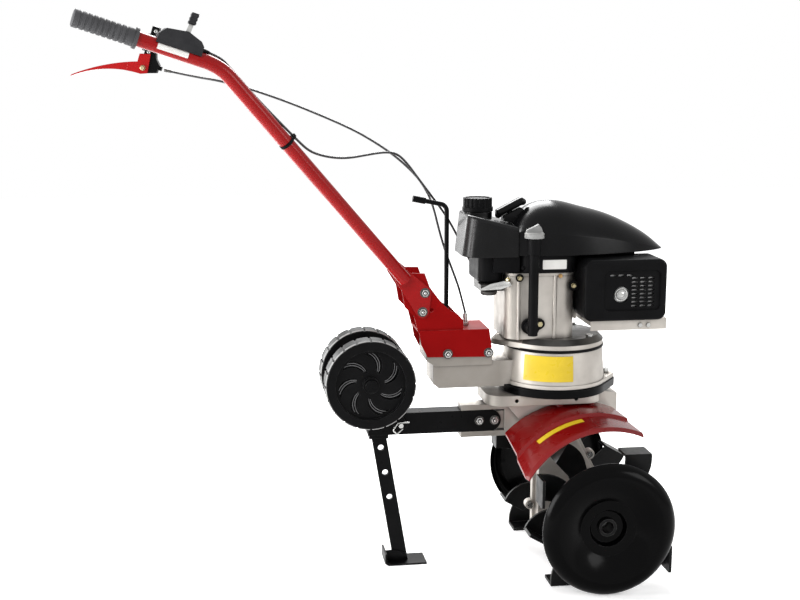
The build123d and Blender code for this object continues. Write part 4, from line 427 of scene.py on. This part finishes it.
# Painted shade in the corners of the screws and around their seats.
paint_corner_shade(screw_zinc, tone=(0.05, 0.05, 0.048), reach=0.008, share=0.95)
steel = wandering(
    "steel", low=(0.42, 0.42, 0.42), high=(0.55, 0.55, 0.54), gloss=(0.22, 0.38),
    colour_scale=40.0, skin_scale=1200.0, strength=0.10, depth=0.0002, edge=0.0006,
    Metallic=1.0)
bronze = wandering(
    "bronze", low=(0.50, 0.30, 0.12), high=(0.62, 0.40, 0.18), gloss=(0.25, 0.40),
    colour_scale=30.0, skin_scale=900.0, strength=0.10, depth=0.0002, edge=0.0006,
    Metallic=1.0)
cast_iron = wandering(
    "cast_iron", low=(0.04, 0.038, 0.036), high=(0.09, 0.086, 0.082), gloss=(0.50, 0.70),
    colour_scale=25.0, skin_scale=700.0, strength=0.45, depth=0.0006, edge=0.0012,
    Metallic=0.8)
print("metals:", zinc.name, yellow_zinc.name, screw_zinc.name, steel.name, bronze.name, cast_iron.name)

# %% [markdown]
# ## Finishes on the solids
# The solids keep their shape and only change their coat. Each could be given its material in a line of
# its own, but a table from finish to solids shows at a glance what shares a finish: each solid's material
# slots are emptied and the finish takes the first one.

# %% Finishes on the solids
coats = {
    red_paint: ["fender_right", "fender_left"],
    bar_paint: ["handlebar_right", "handlebar_left", "clutch_lever"],
    bracket_paint: ["column_bracket"],
    black_paint: ["drawbar", "depth_spur", "wheel_carrier", "wheel_axle", "selector_rod", "clutch_perch"],
    tine_paint: ["tine_hub_right", "tine_hub_left", "tines_right", "tines_left"],
    gloss_black_paint: ["guard_disc_right", "guard_disc_left", "bell_ring"],
    black_plastic: ["cable_tie", "blower_housing", "oil_filler", "air_cleaner", "fuel_cap", "muffler_guard"],
    wheel_plastic: ["wheel_right", "wheel_left"],
    gloss_black: ["top_cover", "recoil_handle"],
    tank_plastic: ["fuel_tank"],
    grey_plastic: ["dipstick"],
    knob_plastic: ["throttle_housing", "throttle_knob"],
    cast_aluminium: ["gear_case_right", "gear_case_left", "bell_housing", "engine_base", "crankcase",
                     "cylinder"],
    dark_casting: ["carburettor"],
    zinc: ["tine_bolts", "gear_case_screws", "cable_adjuster", "drawbar_pins", "frame_bolts", "spark_plug",
           "throttle_lever"],
    screw_zinc: ["engine_screws"],
    steel: ["rotor_shaft", "worm_shaft", "crankshaft", "shaft_bearings", "muffler"],
    bronze: ["worm_wheel"],
    rubber: ["grip_right", "grip_left"],
    cast_iron: ["flywheel", "clutch_drum"],
}
for coat, names in coats.items():
    for name in names:
        nodes[name].data.materials.clear()
        nodes[name].data.materials.append(coat)
print("coated", sum(len(names) for names in coats.values()), "solids")

# %% [markdown]
# ## Control cables
# Two black sheathed cables hang between the bars and the engine. A chain of straight tubes would look
# like bent wire, so each is one smooth spline with the points of its route as control points and a round
# bevel for its sheath. Both ends go back into the machine.

# %% A cable along a route
cable_sheath = wandering(
    "cable_sheath", low=(0.006, 0.006, 0.007), high=(0.014, 0.014, 0.015), gloss=(0.32, 0.46),
    colour_scale=50.0, skin_scale=1500.0, strength=0.15, depth=0.0002, edge=0.0004)
cable_radius = 2.5 * mm


def control_cable(name, route, node):
    """A sheathed cable along a route given in millimetres."""
    line = bpy.data.curves.new(name, "CURVE")
    line.dimensions = "3D"
    line.bevel_depth = cable_radius
    line.bevel_resolution = 4
    line.resolution_u = 8
    line.use_fill_caps = True
    spline = line.splines.new("NURBS")
    spline.points.add(len(route) - 1)
    for point, spot in zip(spline.points, route):
        point.co = (*(Vector(spot) * mm), 1.0)
    spline.order_u = 3
    spline.use_endpoint_u = True
    piece = bpy.data.objects.new(name, line)
    bpy.context.scene.collection.objects.link(piece)
    line.materials.append(cable_sheath)
    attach(piece, "chassis")
    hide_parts(node)
    return piece


print("cables are", 2 * cable_radius, "m thick")

# %% Control cables
clutch_route = [
    (-428.4, 242.5, 1076.0), (-370, 222, 1063), (-312, 190, 1054), (-255, 174, 1039), (-198, 161, 1020),
    (-147, 149, 1001), (-101, 136, 982), (-59, 121, 964), (-19, 106, 945), (18, 90, 923), (53, 74, 899),
    (83, 60, 873), (108, 48, 846), (126, 40, 816), (138, 34, 783), (146, 29, 747), (156, 24, 709),
    (167, 18, 675), (179, 11, 642), (191, 5, 607), (202, 0, 559),
]
throttle_route = [
    (-346.8, -227.9, 1115.8), (-316, -212, 1105.5), (-295.2, -204.5, 1082.3), (-254.2, -186.8, 1034.2),
    (-212, -174.2, 989.1), (-169, -162, 945), (-145, -150, 922), (-116, -134, 911), (-85, -114, 905),
    (-55, -94, 904), (-20, -72, 908), (20, -50, 912), (48, -34, 907), (71, -18, 886), (97, -1, 853),
    (127, 18, 816), (156, 42, 781), (179, 66, 750), (202, 90, 713), (225, 98, 671), (241, 90, 637),
    (250, 68, 620), (252, 38.3, 617),
]
control_cable("clutch_cable_line", clutch_route, "clutch_cable")
control_cable("throttle_cable_line", throttle_route, "throttle_cable")
print("two cables of", len(clutch_route), "and", len(throttle_route), "points")

# %% [markdown]
# ## New pieces
# Everything below the size of a solid is made here: films, ferrules, nuts and trim. They could be built
# point by point, but most of them are round, so one helper does: a turned piece starts as a profile that
# is spun about its axis.

# %% Helpers for new pieces
def finished_piece(name, mesh, coat, body, smooth_under=40.0):
    """Turn a bmesh into a piece with a finish that rides on a body, if one is named."""
    data = bpy.data.meshes.new(name)
    bmesh.ops.remove_doubles(mesh, verts=mesh.verts, dist=0.001 * mm)
    bmesh.ops.recalc_face_normals(mesh, faces=mesh.faces)
    for face in mesh.faces:
        face.smooth = True
    for edge in mesh.edges:
        edge.smooth = edge.is_manifold and edge.calc_face_angle(0.0) < math.radians(smooth_under)
    mesh.to_mesh(data)
    mesh.free()
    data.materials.append(coat)
    piece = bpy.data.objects.new(name, data)
    bpy.context.scene.collection.objects.link(piece)
    if body:
        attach(piece, body)
    return piece


def turn(mesh, profile, foot, axis, steps=32):
    """Spin a profile of (radius, height) pairs in millimetres about an axis that starts at its foot."""
    axis = Vector(axis).normalized()
    side = axis.orthogonal().normalized()
    foot = Vector(foot) * mm
    chain = [mesh.verts.new(foot + side * radius * mm + axis * height * mm) for radius, height in profile]
    links = [mesh.edges.new(pair) for pair in zip(chain, chain[1:])]
    bmesh.ops.spin(mesh, geom=chain + links, cent=foot, axis=axis, angle=math.tau, steps=steps,
                   use_merge=True)


def turned_piece(name, profile, foot, axis, coat, body, steps=32):
    """A single turned piece."""
    mesh = bmesh.new()
    turn(mesh, profile, foot, axis, steps)
    return finished_piece(name, mesh, coat, body)


upright = (0, 0, 1)
rightward = (0, -1, 0)
print("helpers for new pieces ready")

# %% [markdown]
# ## Blank plates
# The machine carries a few printed plates. Here they are bare: thin yellow or white film. On a round
# surface a film could be shrink-wrapped, but one straight edge turned about the surface's own axis with a
# spin follows the round exactly. It then gets its thickness, which gives it a fine shadow line.

# %% Films
film_thickness = 0.35


def round_corners(mesh, corners, radius):
    """Round the corners of a thin film before it gets its thickness."""
    bmesh.ops.bevel(mesh, geom=corners, offset=radius * mm, offset_type="OFFSET", segments=3, profile=0.5,
                    affect="VERTICES", material=-1, clamp_overlap=True)


def film_on_round(name, start, end, centre, axis, degrees, coat, body, steps=24):
    """Thin film swept from one straight edge about an axis, with rounded corners."""
    mesh = bmesh.new()
    edge = mesh.edges.new((mesh.verts.new(Vector(start) * mm), mesh.verts.new(Vector(end) * mm)))
    bmesh.ops.spin(mesh, geom=[*edge.verts, edge], cent=Vector(centre) * mm, axis=axis,
                   angle=math.radians(degrees), steps=steps)
    corners = [vert for vert in mesh.verts if len(vert.link_faces) == 1]
    round_corners(mesh, corners, radius=1.6)
    bmesh.ops.recalc_face_normals(mesh, faces=mesh.faces)
    bmesh.ops.solidify(mesh, geom=mesh.faces[:], thickness=film_thickness * mm)
    return finished_piece(name, mesh, coat, body)


def flat_film(name, centre, along, across, length, width, coat, body):
    """Thin flat film with rounded corners, in the plane of two directions."""
    mesh = bmesh.new()
    along = Vector(along).normalized()
    across = Vector(across).normalized()
    turned = Matrix((along, across, along.cross(across))).transposed().to_4x4()
    sides = Matrix.Diagonal((length * mm, width * mm, 1.0, 1.0))
    place = Matrix.Translation(Vector(centre) * mm) @ turned @ sides
    bmesh.ops.create_grid(mesh, x_segments=1, y_segments=1, size=0.5, matrix=place)
    round_corners(mesh, mesh.verts[:], radius=2.0)
    bmesh.ops.solidify(mesh, geom=mesh.faces[:], thickness=film_thickness * mm)
    return finished_piece(name, mesh, coat, body)


yellow_film = wandering(
    "yellow_film", low=(0.60, 0.43, 0.012), high=(0.67, 0.485, 0.020), gloss=(0.25, 0.36),
    colour_scale=30.0, skin_scale=800.0, strength=0.05, depth=0.0002, edge=0.0002)
white_film = wandering(
    "white_film", low=(0.70, 0.69, 0.66), high=(0.78, 0.77, 0.74), gloss=(0.30, 0.42),
    colour_scale=30.0, skin_scale=800.0, strength=0.05, depth=0.0002, edge=0.0002)
print("films:", yellow_film.name, white_film.name)

# %% Plate on the bell housing
crank_line = Vector((400.0, 0.0, 0.0))
bell_foot = 407.0
bell_rise = 83.0
bell_foot_radius = 113.0
bell_taper = 6.0


def on_bell(height, degrees, lift=0.8):
    """A point just outside the cone of the bell housing, in millimetres."""
    radius = bell_foot_radius - bell_taper * (height - bell_foot) / bell_rise + lift
    angle = math.radians(degrees)
    return crank_line + Vector((radius * math.cos(angle), radius * math.sin(angle), height))


film_on_round("bell_plate", on_bell(424, -139), on_bell(479, -139), crank_line, upright, degrees=57,
              coat=yellow_film, body="chassis")
print("bell plate made")

# %% Strip on the fender
fender_middle = Vector((440.0, 0.0, 142.0))
fender_out = Vector((0.0995, -0.995, 0.0))
fender_ahead = Vector((0.995, 0.0995, 0.0))
fender_radius = 210.0
fender_step = 133.0
fender_slope = 18.0


def on_fender(outward, degrees, lift=0.6):
    """A point just outside the crown of the right fender, in millimetres."""
    radius = fender_radius - (outward - fender_step) / fender_slope + lift
    angle = math.radians(degrees)
    across = fender_ahead * math.cos(angle) + Vector(upright) * math.sin(angle)
    return fender_middle + fender_out * outward + across * radius


film_on_round("fender_strip", on_fender(140, 127.5), on_fender(157, 127.5), fender_middle, fender_out,
              degrees=-30.0, coat=yellow_film, body="chassis")
print("fender strip made")

# %% Plates on the blower housing and the right bar
flat_film("blower_label", (378, -80.4, 673), along=(1, 0, 0), across=upright, length=52, width=20,
          coat=white_film, body="chassis")

bar_end = Vector((-577.0, -270.0, 1174.0))
bar_along = Vector((0.93502, 0.17130, -0.31048))
bar_up = Vector((0.30540, 0.05595, 0.95058))
bar_out = Vector((0.18021, -0.98363, 0.0))


def on_bar(distance_along, rise, outward):
    """A place by its distance from the bar's end, its rise and its distance outward, in millimetres."""
    return bar_end + bar_along * distance_along + bar_up * rise + bar_out * outward


def on_tube(distance_along, degrees, radius=14.3):
    """A point on the bar's tube, turned up from its outer side."""
    angle = math.radians(degrees)
    return on_bar(distance_along, radius * math.sin(angle), radius * math.cos(angle))


film_on_round("bar_label", on_tube(157, -26), on_tube(216, -26), bar_end, -bar_along, degrees=45.0,
              coat=white_film, body="chassis")
print("blower label and bar label made")

# %% [markdown]
# ## Ends of the cables
# A sheath doesn't end bare: it sits in a metal ferrule, and a soft boot covers it where it leaves the
# throttle housing. They could be scaled tubes, but a ferrule has shoulders and the boot has rings, so
# each is one profile and a spin along the cable.

# %% Ferrules and boot
clutch_start = Vector(clutch_route[0])
throttle_start = Vector(throttle_route[0])
throttle_end = Vector(throttle_route[-1])
clutch_ferrule = [(0, -2), (3.7, -2), (4.1, -1.5), (4.1, 3), (3.3, 3.8), (3.3, 13.5), (2.8, 14.2), (0, 14.2)]
turned_piece("clutch_ferrule", clutch_ferrule, clutch_start, Vector(clutch_route[1]) - clutch_start,
             dark_casting, "chassis")

boot_rings = 3
ring_pitch = 4
boot_profile = [(0, -4), (4.6, -4), (4.6, 1)]
for ring in range(boot_rings):
    crest = 4.2 - ring * 0.4
    valley = 3.6 - ring * 0.3
    rise = ring * ring_pitch
    boot_profile += [(crest, 2.0 + rise), (crest, 4.4 + rise), (valley, 5.0 + rise)]
boot_profile += [(2.6, 15), (0, 15)]
turned_piece("throttle_boot", boot_profile, throttle_start, Vector(throttle_route[1]) - throttle_start,
             black_plastic, "chassis")
throttle_ferrule = [(0, -3), (3.5, -3), (3.5, 9), (2.9, 10), (0, 10)]
turned_piece("throttle_ferrule", throttle_ferrule, throttle_end, Vector(throttle_route[-2]) - throttle_end,
             zinc, "chassis")
print("two ferrules and a boot of", boot_rings, "rings made")

# %% [markdown]
# ## Starter rope
# The pull handle's rope lies inside its guide until the handle is drawn. It could be a plain tube, but a
# rope shows its twist: a three-lobed ring that is spun and lifted step by step lays the strands.

# %% Starter rope
rope_fibre = wandering(
    "rope_fibre", low=(0.030, 0.030, 0.032), high=(0.085, 0.085, 0.085), gloss=(0.70, 0.85),
    colour_scale=300.0, skin_scale=2400.0, strength=0.40, depth=0.0003, edge=0.0003)
rope_foot = Vector((297.0, 0.0, 745.0)) * mm
rope_radius = 2.1 * mm
rope_rise = 30.0 * mm
rope_steps = 40
groove = 0.78
rope_mesh = bmesh.new()
lobes = bmesh.ops.create_circle(rope_mesh, segments=18, radius=rope_radius,
                                matrix=Matrix.Translation(rope_foot))["verts"]
for number, vert in enumerate(lobes):
    vert.co = rope_foot + (vert.co - rope_foot) * (1.0 if number % 6 in (2, 3, 4) else groove)
bmesh.ops.spin(rope_mesh, geom=rope_mesh.verts[:] + rope_mesh.edges[:], cent=rope_foot, axis=upright,
               dvec=(0, 0, rope_rise / rope_steps), angle=math.tau, steps=rope_steps)
rope_ends = [edge for edge in rope_mesh.edges if edge.is_boundary]
bmesh.ops.holes_fill(rope_mesh, edges=rope_ends, sides=0)
rope = finished_piece("starter_rope", rope_mesh, rope_fibre, None, smooth_under=60.0)
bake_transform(rope)
print("starter rope of", rope_steps, "steps")

# %% [markdown]
# ## Seal, outlet and apron
# A black seal shows as a thin line between the engine's base and the bell housing, and the muffler's outlet
# shines through the round hole in its guard. A dark apron, a sheet of painted shade, slopes from the
# crankcase to the base's rim, where the casting lies in shade. Rings could be cut from discs, but all three
# are round,
# so each is turned: the seal and the apron about the crank line, the outlet's flared liner with its domed
# screen about its own pipe.

# %% Seal, outlet liner and apron
round_steps = 96
seal_profile = [(106.0, 485), (109.0, 485), (109.4, 485.6), (109.4, 490.6), (109.0, 491.2), (106.0, 491.2),
                (106.0, 485)]
turned_piece("bell_seal", seal_profile, crank_line, upright, black_plastic, "chassis",
             round_steps)
liner_profile = [(0, 0), (9.8, 0), (9.8, 5.5), (13.8, 8.0), (14.2, 8.6), (13.6, 9.0), (10.2, 7.2),
                 (9.4, 6.2), (7.6, 7.6), (4.0, 8.8), (0, 9.2)]
turned_piece("outlet_liner", liner_profile, (514.0, -108.5, 611.0), rightward, zinc, "chassis",
             steps=40)
# Painted shade: a dark sheet laid over the base's sloping top, which lies in shade.
shade_sheet_profile = [(40, 511.8), (40, 512.5), (97.3, 512.5), (108.6, 501.2), (108.2, 500.8), (97.0, 511.8),
                 (40, 511.8)]
turned_piece("painted_shade_apron", shade_sheet_profile, crank_line, upright, dark_casting, "chassis",
             round_steps)
print("seal, outlet liner and apron made")

# %% [markdown]
# ## Throttle knob
# The knob is moulded with three fat bands for the fingers. A bump could hint at them, but they show in
# the outline, so each is a block with rounded edges round the knob, and they ride with the lever.

# %% Knob bands
def block(mesh, centre, sides, frame_of, soft, segments):
    """A block with rounded edges, its sides along the columns of a frame."""
    scale = Matrix.Diagonal((*(Vector(sides) * mm), 1.0))
    place = Matrix.Translation(Vector(centre) * mm) @ frame_of.to_4x4() @ scale
    made = bmesh.ops.create_cube(mesh, size=1.0, matrix=place)
    corners = set(made["verts"])
    rims = [edge for edge in mesh.edges if edge.verts[0] in corners and edge.verts[1] in corners]
    bmesh.ops.bevel(mesh, geom=rims, offset=soft * mm, offset_type="OFFSET", segments=segments, profile=0.5,
                    affect="EDGES", material=-1, clamp_overlap=True)


bar_frame = Matrix((bar_along, bar_up, bar_out)).transposed()
knob_along = 204.0
bands = bmesh.new()
for rise, shift in ((59.5, 3.6), (66.5, 4.2), (73.5, 4.8)):
    block(bands, on_bar(knob_along + shift, rise, 0), (14.4, 5.2, 12.8), bar_frame, soft=1.6, segments=3)
finished_piece("knob_bands", bands, knob_plastic, "throttle")
print("knob bands made")

# %% [markdown]
# ## Pull handle
# The handle is a fat moulded grip on a wedge-shaped boss. The grip could be a swept tube, but it is flat
# underneath and wider than it is tall, so a block with very round edges comes closer. It rides with the
# handle's solid; the boss stays with the cover.

# %% Pull grip
pull_tilt = Matrix.Rotation(math.radians(-27.0), 3, "Y")
pull_grip = bmesh.new()
block(pull_grip, (297.5, 0, 788.6), (68, 26, 16.5), pull_tilt, soft=7.0, segments=5)
finished_piece("pull_grip", pull_grip, gloss_black, "recoil")
print("pull grip made")

# %% Boss under the pull grip
def plate(mesh, outline, start, depth, soft):
    """A plate whose outline of (x, z) places is drawn at one y and pushed to another, its edges softened."""
    face = mesh.faces.new([mesh.verts.new(Vector((x, start, z)) * mm) for x, z in outline])
    pushed = bmesh.ops.extrude_face_region(mesh, geom=[face])["geom"]
    moved = [item for item in pushed if isinstance(item, bmesh.types.BMVert)]
    bmesh.ops.translate(mesh, verts=moved, vec=Vector((0, depth, 0)) * mm)
    bmesh.ops.recalc_face_normals(mesh, faces=mesh.faces)
    bmesh.ops.bevel(mesh, geom=mesh.edges[:], offset=soft * mm, offset_type="OFFSET", segments=2, profile=0.5,
                    affect="EDGES", material=-1, clamp_overlap=True)


pull_boss = bmesh.new()
boss_outline = [(281, 762), (281, 769), (297, 777), (320, 788), (330, 780), (330, 762)]
plate(pull_boss, boss_outline, start=-12, depth=24, soft=2.5)
finished_piece("pull_boss", pull_boss, gloss_black, "chassis")
print("pull boss made")

# %% [markdown]
# ## Carburettor
# Under the air cleaner a bright governor plate and the dark bottom of the float bowl show. Boxes and
# cylinders would do from far off, but their outlines show against the light: the plate is an outline
# pushed to its thickness, and the bowl is a turned cup.

# %% Governor plate and float bowl
governor = bmesh.new()
governor_outline = [(217.5, 621.0), (217.5, 623.6), (240, 634), (270, 640), (281.5, 638), (286.5, 630),
                    (263.5, 622)]
plate(governor, governor_outline, start=-77.2, depth=1.8, soft=0.4)
finished_piece("governor_plate", governor, zinc, "chassis")
bowl_profile = [(0, 0), (13, 0), (17, 2.0), (18, 4.5), (18, 9), (0, 9)]
turned_piece("float_bowl", bowl_profile, (246.0, -34.0, 603.5), upright, dark_casting, "chassis")
print("governor plate and float bowl made")

# %% [markdown]
# ## Small fasteners
# Nuts and screws hold the blower, the guard and the crankcase cover. They could be copies of one finished
# bolt, but their sizes differ. A profile spun in six steps gives a hexagon head, and in many steps its
# washer, so all of them come from one helper and stay easy to move.

# %% A hexagon head
def hex_head(mesh, foot, axis, across, height, washer, washer_height=1.6):
    """A chamfered hexagon head on its washer."""
    corner = across / 2 / math.cos(math.pi / 6)
    soft = 0.4
    turn(mesh, [(0, 0), (washer, 0), (washer, washer_height - soft), (washer - soft, washer_height),
                (0, washer_height)], foot, axis)
    top = washer_height + height
    head = [(0, washer_height), (corner, washer_height), (corner, top - 1.0), (corner * 0.82, top), (0, top)]
    turn(mesh, head, foot, axis, steps=6)


blower_nut = Vector((302.4, -81.0, 646.0))
guard_nut = Vector((420.0, -81.0, 627.0))
collar_depth = Vector((0.0, 2.6, 0.0))
print("nuts", round((guard_nut - blower_nut).length, 1), "mm apart on the engine")

# %% Nuts on the engine
engine_nuts = bmesh.new()
hex_head(engine_nuts, (282.0, -64.5, 641.0), (-0.75, -0.66, 0), across=7.0, height=4.0, washer=5.0)
hex_head(engine_nuts, blower_nut, rightward, across=8.0, height=4.5, washer=5.0)
hex_head(engine_nuts, guard_nut, rightward, across=8.5, height=5.0, washer=5.5)
finished_piece("engine_nuts", engine_nuts, yellow_zinc, "chassis")
case_stud = bmesh.new()
hex_head(case_stud, (391.5, -79.0, 648.0), rightward, across=6.5, height=4.0, washer=4.4)
finished_piece("case_stud", case_stud, bronze, "chassis")

engine_washers = bmesh.new()
turn(engine_washers, [(0, 0), (8.5, 0), (8.5, 2.4), (8.0, 3.0), (0, 3.0)], blower_nut + collar_depth,
     rightward)
turn(engine_washers, [(0, 0), (11.0, 0), (11.0, 2.4), (10.4, 3.0), (0, 3.0)], guard_nut + collar_depth,
     rightward)
hex_head(engine_washers, (312.0, -71.4, 666.0), (-0.55, -0.83, 0), across=6.0, height=3.0, washer=4.8)
finished_piece("engine_washers", engine_washers, black_plastic, "chassis")
print("engine nuts made")

# %% Screws on the clutch perch
lever_side = Vector((-0.18021, -0.98363, 0.0))
lever_pivot = Vector((-475.4, 251.3, 1081.4)) + lever_side * 12.0
pivot_nut = bmesh.new()
hex_head(pivot_nut, lever_pivot, lever_side, across=9.0, height=4.0, washer=6.0)
finished_piece("pivot_nut", pivot_nut, yellow_zinc, "chassis")
perch_screw = bmesh.new()
lower_head = [(0, 0), (4.2, 0), (4.2, 1.4), (3.4, 2.4), (1.6, 2.6), (1.4, 1.4), (0, 1.4)]
upper_head = [(0, 0), (4.4, 0), (4.4, 1.6), (3.6, 2.8), (1.8, 3.0), (1.6, 1.6), (0, 1.6)]
turn(perch_screw, lower_head, (-462.5, 240.5, 1115.3), lever_side)
turn(perch_screw, upper_head, (-445.7, 237.5, 1160.0), lever_side)
finished_piece("perch_screw", perch_screw, zinc, "chassis")
print("perch screws made")

# %% [markdown]
# ## Bolts of the frame
# The solids' bolts have plain heads. The real ones sit on dished washers, and their threaded end stands in
# a dark ring. A bump could draw the rings, but they catch the light on their edges, so each is turned
# about its bolt: a washer round the head, a dark ring on it and a bright end.

# %% Washers, rings and ends on the frame's bolts
bolt_spots = [(105.0, -50.1, 614.0), (100.0, -50.1, 573.0), (155.0, -50.0, 480.0), (244.0, -50.0, 480.0),
              (232.0, -20.0, 321.0), (266.0, -20.0, 321.0)]
washer_profile = [(5.0, 0), (10.6, 0), (10.6, 0.7), (9.8, 1.3), (8.6, 1.5), (5.0, 1.5), (5.0, 0)]
ring_profile = [(0, 4.6), (5.0, 4.6), (5.0, 5.1), (4.6, 5.3), (0, 5.3)]
end_profile = [(0, 4.8), (3.3, 4.8), (3.3, 7.0), (2.6, 7.8), (0, 7.8)]
bolt_washers = bmesh.new()
bolt_rings = bmesh.new()
bolt_ends = bmesh.new()
for spot in bolt_spots:
    turn(bolt_washers, washer_profile, spot, rightward)
    turn(bolt_rings, ring_profile, spot, rightward)
    turn(bolt_ends, end_profile, spot, rightward)
finished_piece("bolt_washers", bolt_washers, dark_casting, "chassis")
finished_piece("bolt_rings", bolt_rings, black_paint, "chassis")
finished_piece("bolt_ends", bolt_ends, zinc, "chassis")
print("trim on", len(bolt_spots), "bolts")

# %% [markdown]
# ## Ribs in the wheels
# Each pocket of a wheel is stiffened by thin curved ribs. A rib could be cut from a disc or bent from a
# strip. Its curve is an arc, so its small rectangular end is spun about the centre of that arc, which is
# where the lines across the middles of two of its chords meet.

# %% A rib in a wheel
rib_half_width = 0.75


def wheel_rib(mesh, turned_by, share, floor_y, height):
    """A thin rib swept along a pocket's curve, at a share of the way across the pocket."""
    def on_wheel(radius, degrees):
        angle = math.radians(turned_by + degrees)
        return axle_place + Vector((radius * math.cos(angle), floor_y, radius * math.sin(angle)))

    inner = on_wheel(31.0, 17 * share)
    middle = on_wheel(49.5, 9 + 19.5 * share)
    outer = on_wheel(68.0, 27 + 22 * share)
    rise = Vector((0.0, height, 0.0))
    first = (inner + middle) / 2
    second = (middle + outer) / 2
    centre = intersect_line_line(first, first + (middle - inner).cross(rise),
                                 second, second + (outer - middle).cross(rise))[0]
    arm = inner - centre
    far_arm = outer - centre
    half = arm.normalized() * rib_half_width
    corners = (inner - half, inner + half, inner + half + rise, inner - half + rise)
    end_face = mesh.faces.new([mesh.verts.new(corner * mm) for corner in corners])
    bmesh.ops.spin(mesh, geom=[*end_face.verts, *end_face.edges, end_face], cent=centre * mm,
                   axis=arm.cross(far_arm).normalized(), angle=arm.angle(far_arm), steps=10)


print("ribs are", 2 * rib_half_width, "mm wide")

# %% Ribs in the wheels
pockets = 7
pocket_floor = 61.8
rib_height = 5.5
for side, body in ((-1, "right_wheel"), (1, "left_wheel")):
    ribs = bmesh.new()
    for pocket in range(pockets):
        for share in (0.35, 0.68):
            wheel_rib(ribs, pocket * 360 / pockets, share, side * pocket_floor, side * rib_height)
    finished_piece(body + "_ribs", ribs, rib_highlight_plastic, body, smooth_under=30.0)
print("ribs in", pockets, "pockets of both wheels")

# %% [markdown]
# ## Foot of the depth spur
# A gusset ties the spur's post to the turned-up end of its foot. It could be a triangle, but the real one
# is cut with several corners, so it is a flat plate pushed from its outline.

# %% Spur gusset
gusset = bmesh.new()
gusset_outline = [(24, 27.5), (24, 5), (30, 3), (70, 3), (72, 17), (58, 25), (42, 28.5)]
plate(gusset, gusset_outline, start=-8.5, depth=5.0, soft=0.8)
finished_piece("spur_gusset", gusset, black_paint, "chassis")
print("gusset made")

# %% [markdown]
# ## Studio
# The machine stands on a pale floor under soft light. A plain white world would light it evenly but
# flat, so large lamps give it bright tops. The key lamp is kept out of mirror reflections, where it would
# show as a square, and a weak lamp on the far side gives the tank's corner its glare. The camera and
# mirror reflections see the surroundings as white, while the light that falls on the machine stays at a
# plain level.

# %% Lamps
def soft_lamp(name, place, aim, size, power):
    """A large square lamp turned towards a point."""
    lamp = bpy.data.objects.new(name, bpy.data.lights.new(name, "AREA"))
    lamp.data.shape = "SQUARE"
    lamp.data.size = size
    lamp.data.energy = power
    lamp.location = place
    lamp.rotation_euler = (Vector(aim) - Vector(place)).to_track_quat("-Z", "Y").to_euler()
    bpy.context.scene.collection.objects.link(lamp)
    return lamp


key_lamp = soft_lamp("key_lamp", (-1.5, -2.4, 2.6), (0.1, 0, 0.5), size=1.2, power=40.0)
key_lamp.visible_glossy = False
soft_lamp("fill_lamp", (2.4, -2.0, 1.5), (0.2, 0, 0.5), size=1.2, power=24.0)
soft_lamp("top_lamp", (0.2, 2.4, 2.7), (0.1, 0, 0.6), size=2.0, power=185.0)
soft_lamp("rear_lamp", (-2.3, -0.2, 1.0), (0.2, 0, 0.7), size=1.4, power=75.0)
soft_lamp("far_lamp", (-1.1, 2.6, 0.6), (0.3, -0.2, 0.3), size=1.1, power=18.0)
print("lamps:", [lamp.name for lamp in bpy.data.lights])

# %% Surroundings
falling_light = 0.50
white_light = 1.0
world = bpy.data.worlds.new("studio")
bpy.context.scene.world = world
world.use_nodes = True
sky = world.node_tree
path = sky.nodes.new("ShaderNodeLightPath")
seen = sky.nodes.new("ShaderNodeMath")
seen.operation = "MAXIMUM"
sky.links.new(path.outputs["Is Camera Ray"], seen.inputs[0])
sky.links.new(path.outputs["Is Transmission Ray"], seen.inputs[1])
mirrored = sky.nodes.new("ShaderNodeMath")
mirrored.operation = "MAXIMUM"
sky.links.new(seen.outputs["Value"], mirrored.inputs[0])
sky.links.new(path.outputs["Is Glossy Ray"], mirrored.inputs[1])
strength = sky.nodes.new("ShaderNodeMapRange")
strength.inputs["To Min"].default_value = falling_light
strength.inputs["To Max"].default_value = white_light
sky.links.new(mirrored.outputs["Value"], strength.inputs["Value"])
background = sky.nodes["Background"]
background.inputs["Color"].default_value = (1.0, 1.0, 1.0, 1.0)
sky.links.new(strength.outputs["Result"], background.inputs["Strength"])
bpy.context.scene.view_settings.view_transform = "Standard"
print("surroundings of strength", falling_light, "seen as", white_light)

# %% [markdown]
# ## Floor
# The floor takes the machine's shadow and otherwise fades into the white behind it. A shadow catcher
# could do that, but a real floor also throws light back up. To the camera it glows a little, more so far
# from the machine, where the lamps no longer reach it.

# %% Floor
near_glow = 0.30
far_glow = 0.75
floor_mesh = bmesh.new()
bmesh.ops.create_grid(floor_mesh, x_segments=2, y_segments=2, size=8.0)
floor_data = bpy.data.meshes.new("floor")
floor_mesh.to_mesh(floor_data)
floor_mesh.free()
floor = bpy.data.objects.new("floor", floor_data)
bpy.context.scene.collection.objects.link(floor)
floor_coat = new_finish("floor_coat", Base_Color=(0.86, 0.86, 0.86, 1.0), Roughness=0.9,
                        Specular_IOR_Level=0.0, Emission_Color=(1.0, 1.0, 1.0, 1.0))
floor_tree = floor_coat.node_tree
floor_place = floor_tree.nodes.new("ShaderNodeTexCoord")
reach = floor_tree.nodes.new("ShaderNodeVectorMath")
reach.operation = "LENGTH"
floor_tree.links.new(floor_place.outputs["Object"], reach.inputs[0])
fade = spread(floor_coat, reach.outputs["Value"], from_low=0.8, from_high=2.4,
              to_low=near_glow, to_high=far_glow)
floor_path = floor_tree.nodes.new("ShaderNodeLightPath")
glow = product(floor_coat, floor_path.outputs["Is Camera Ray"], fade)
floor_tree.links.new(glow, floor_tree.nodes["Principled BSDF"].inputs["Emission Strength"])
floor_data.materials.append(floor_coat)
print("floor glows from", near_glow, "to", far_glow)
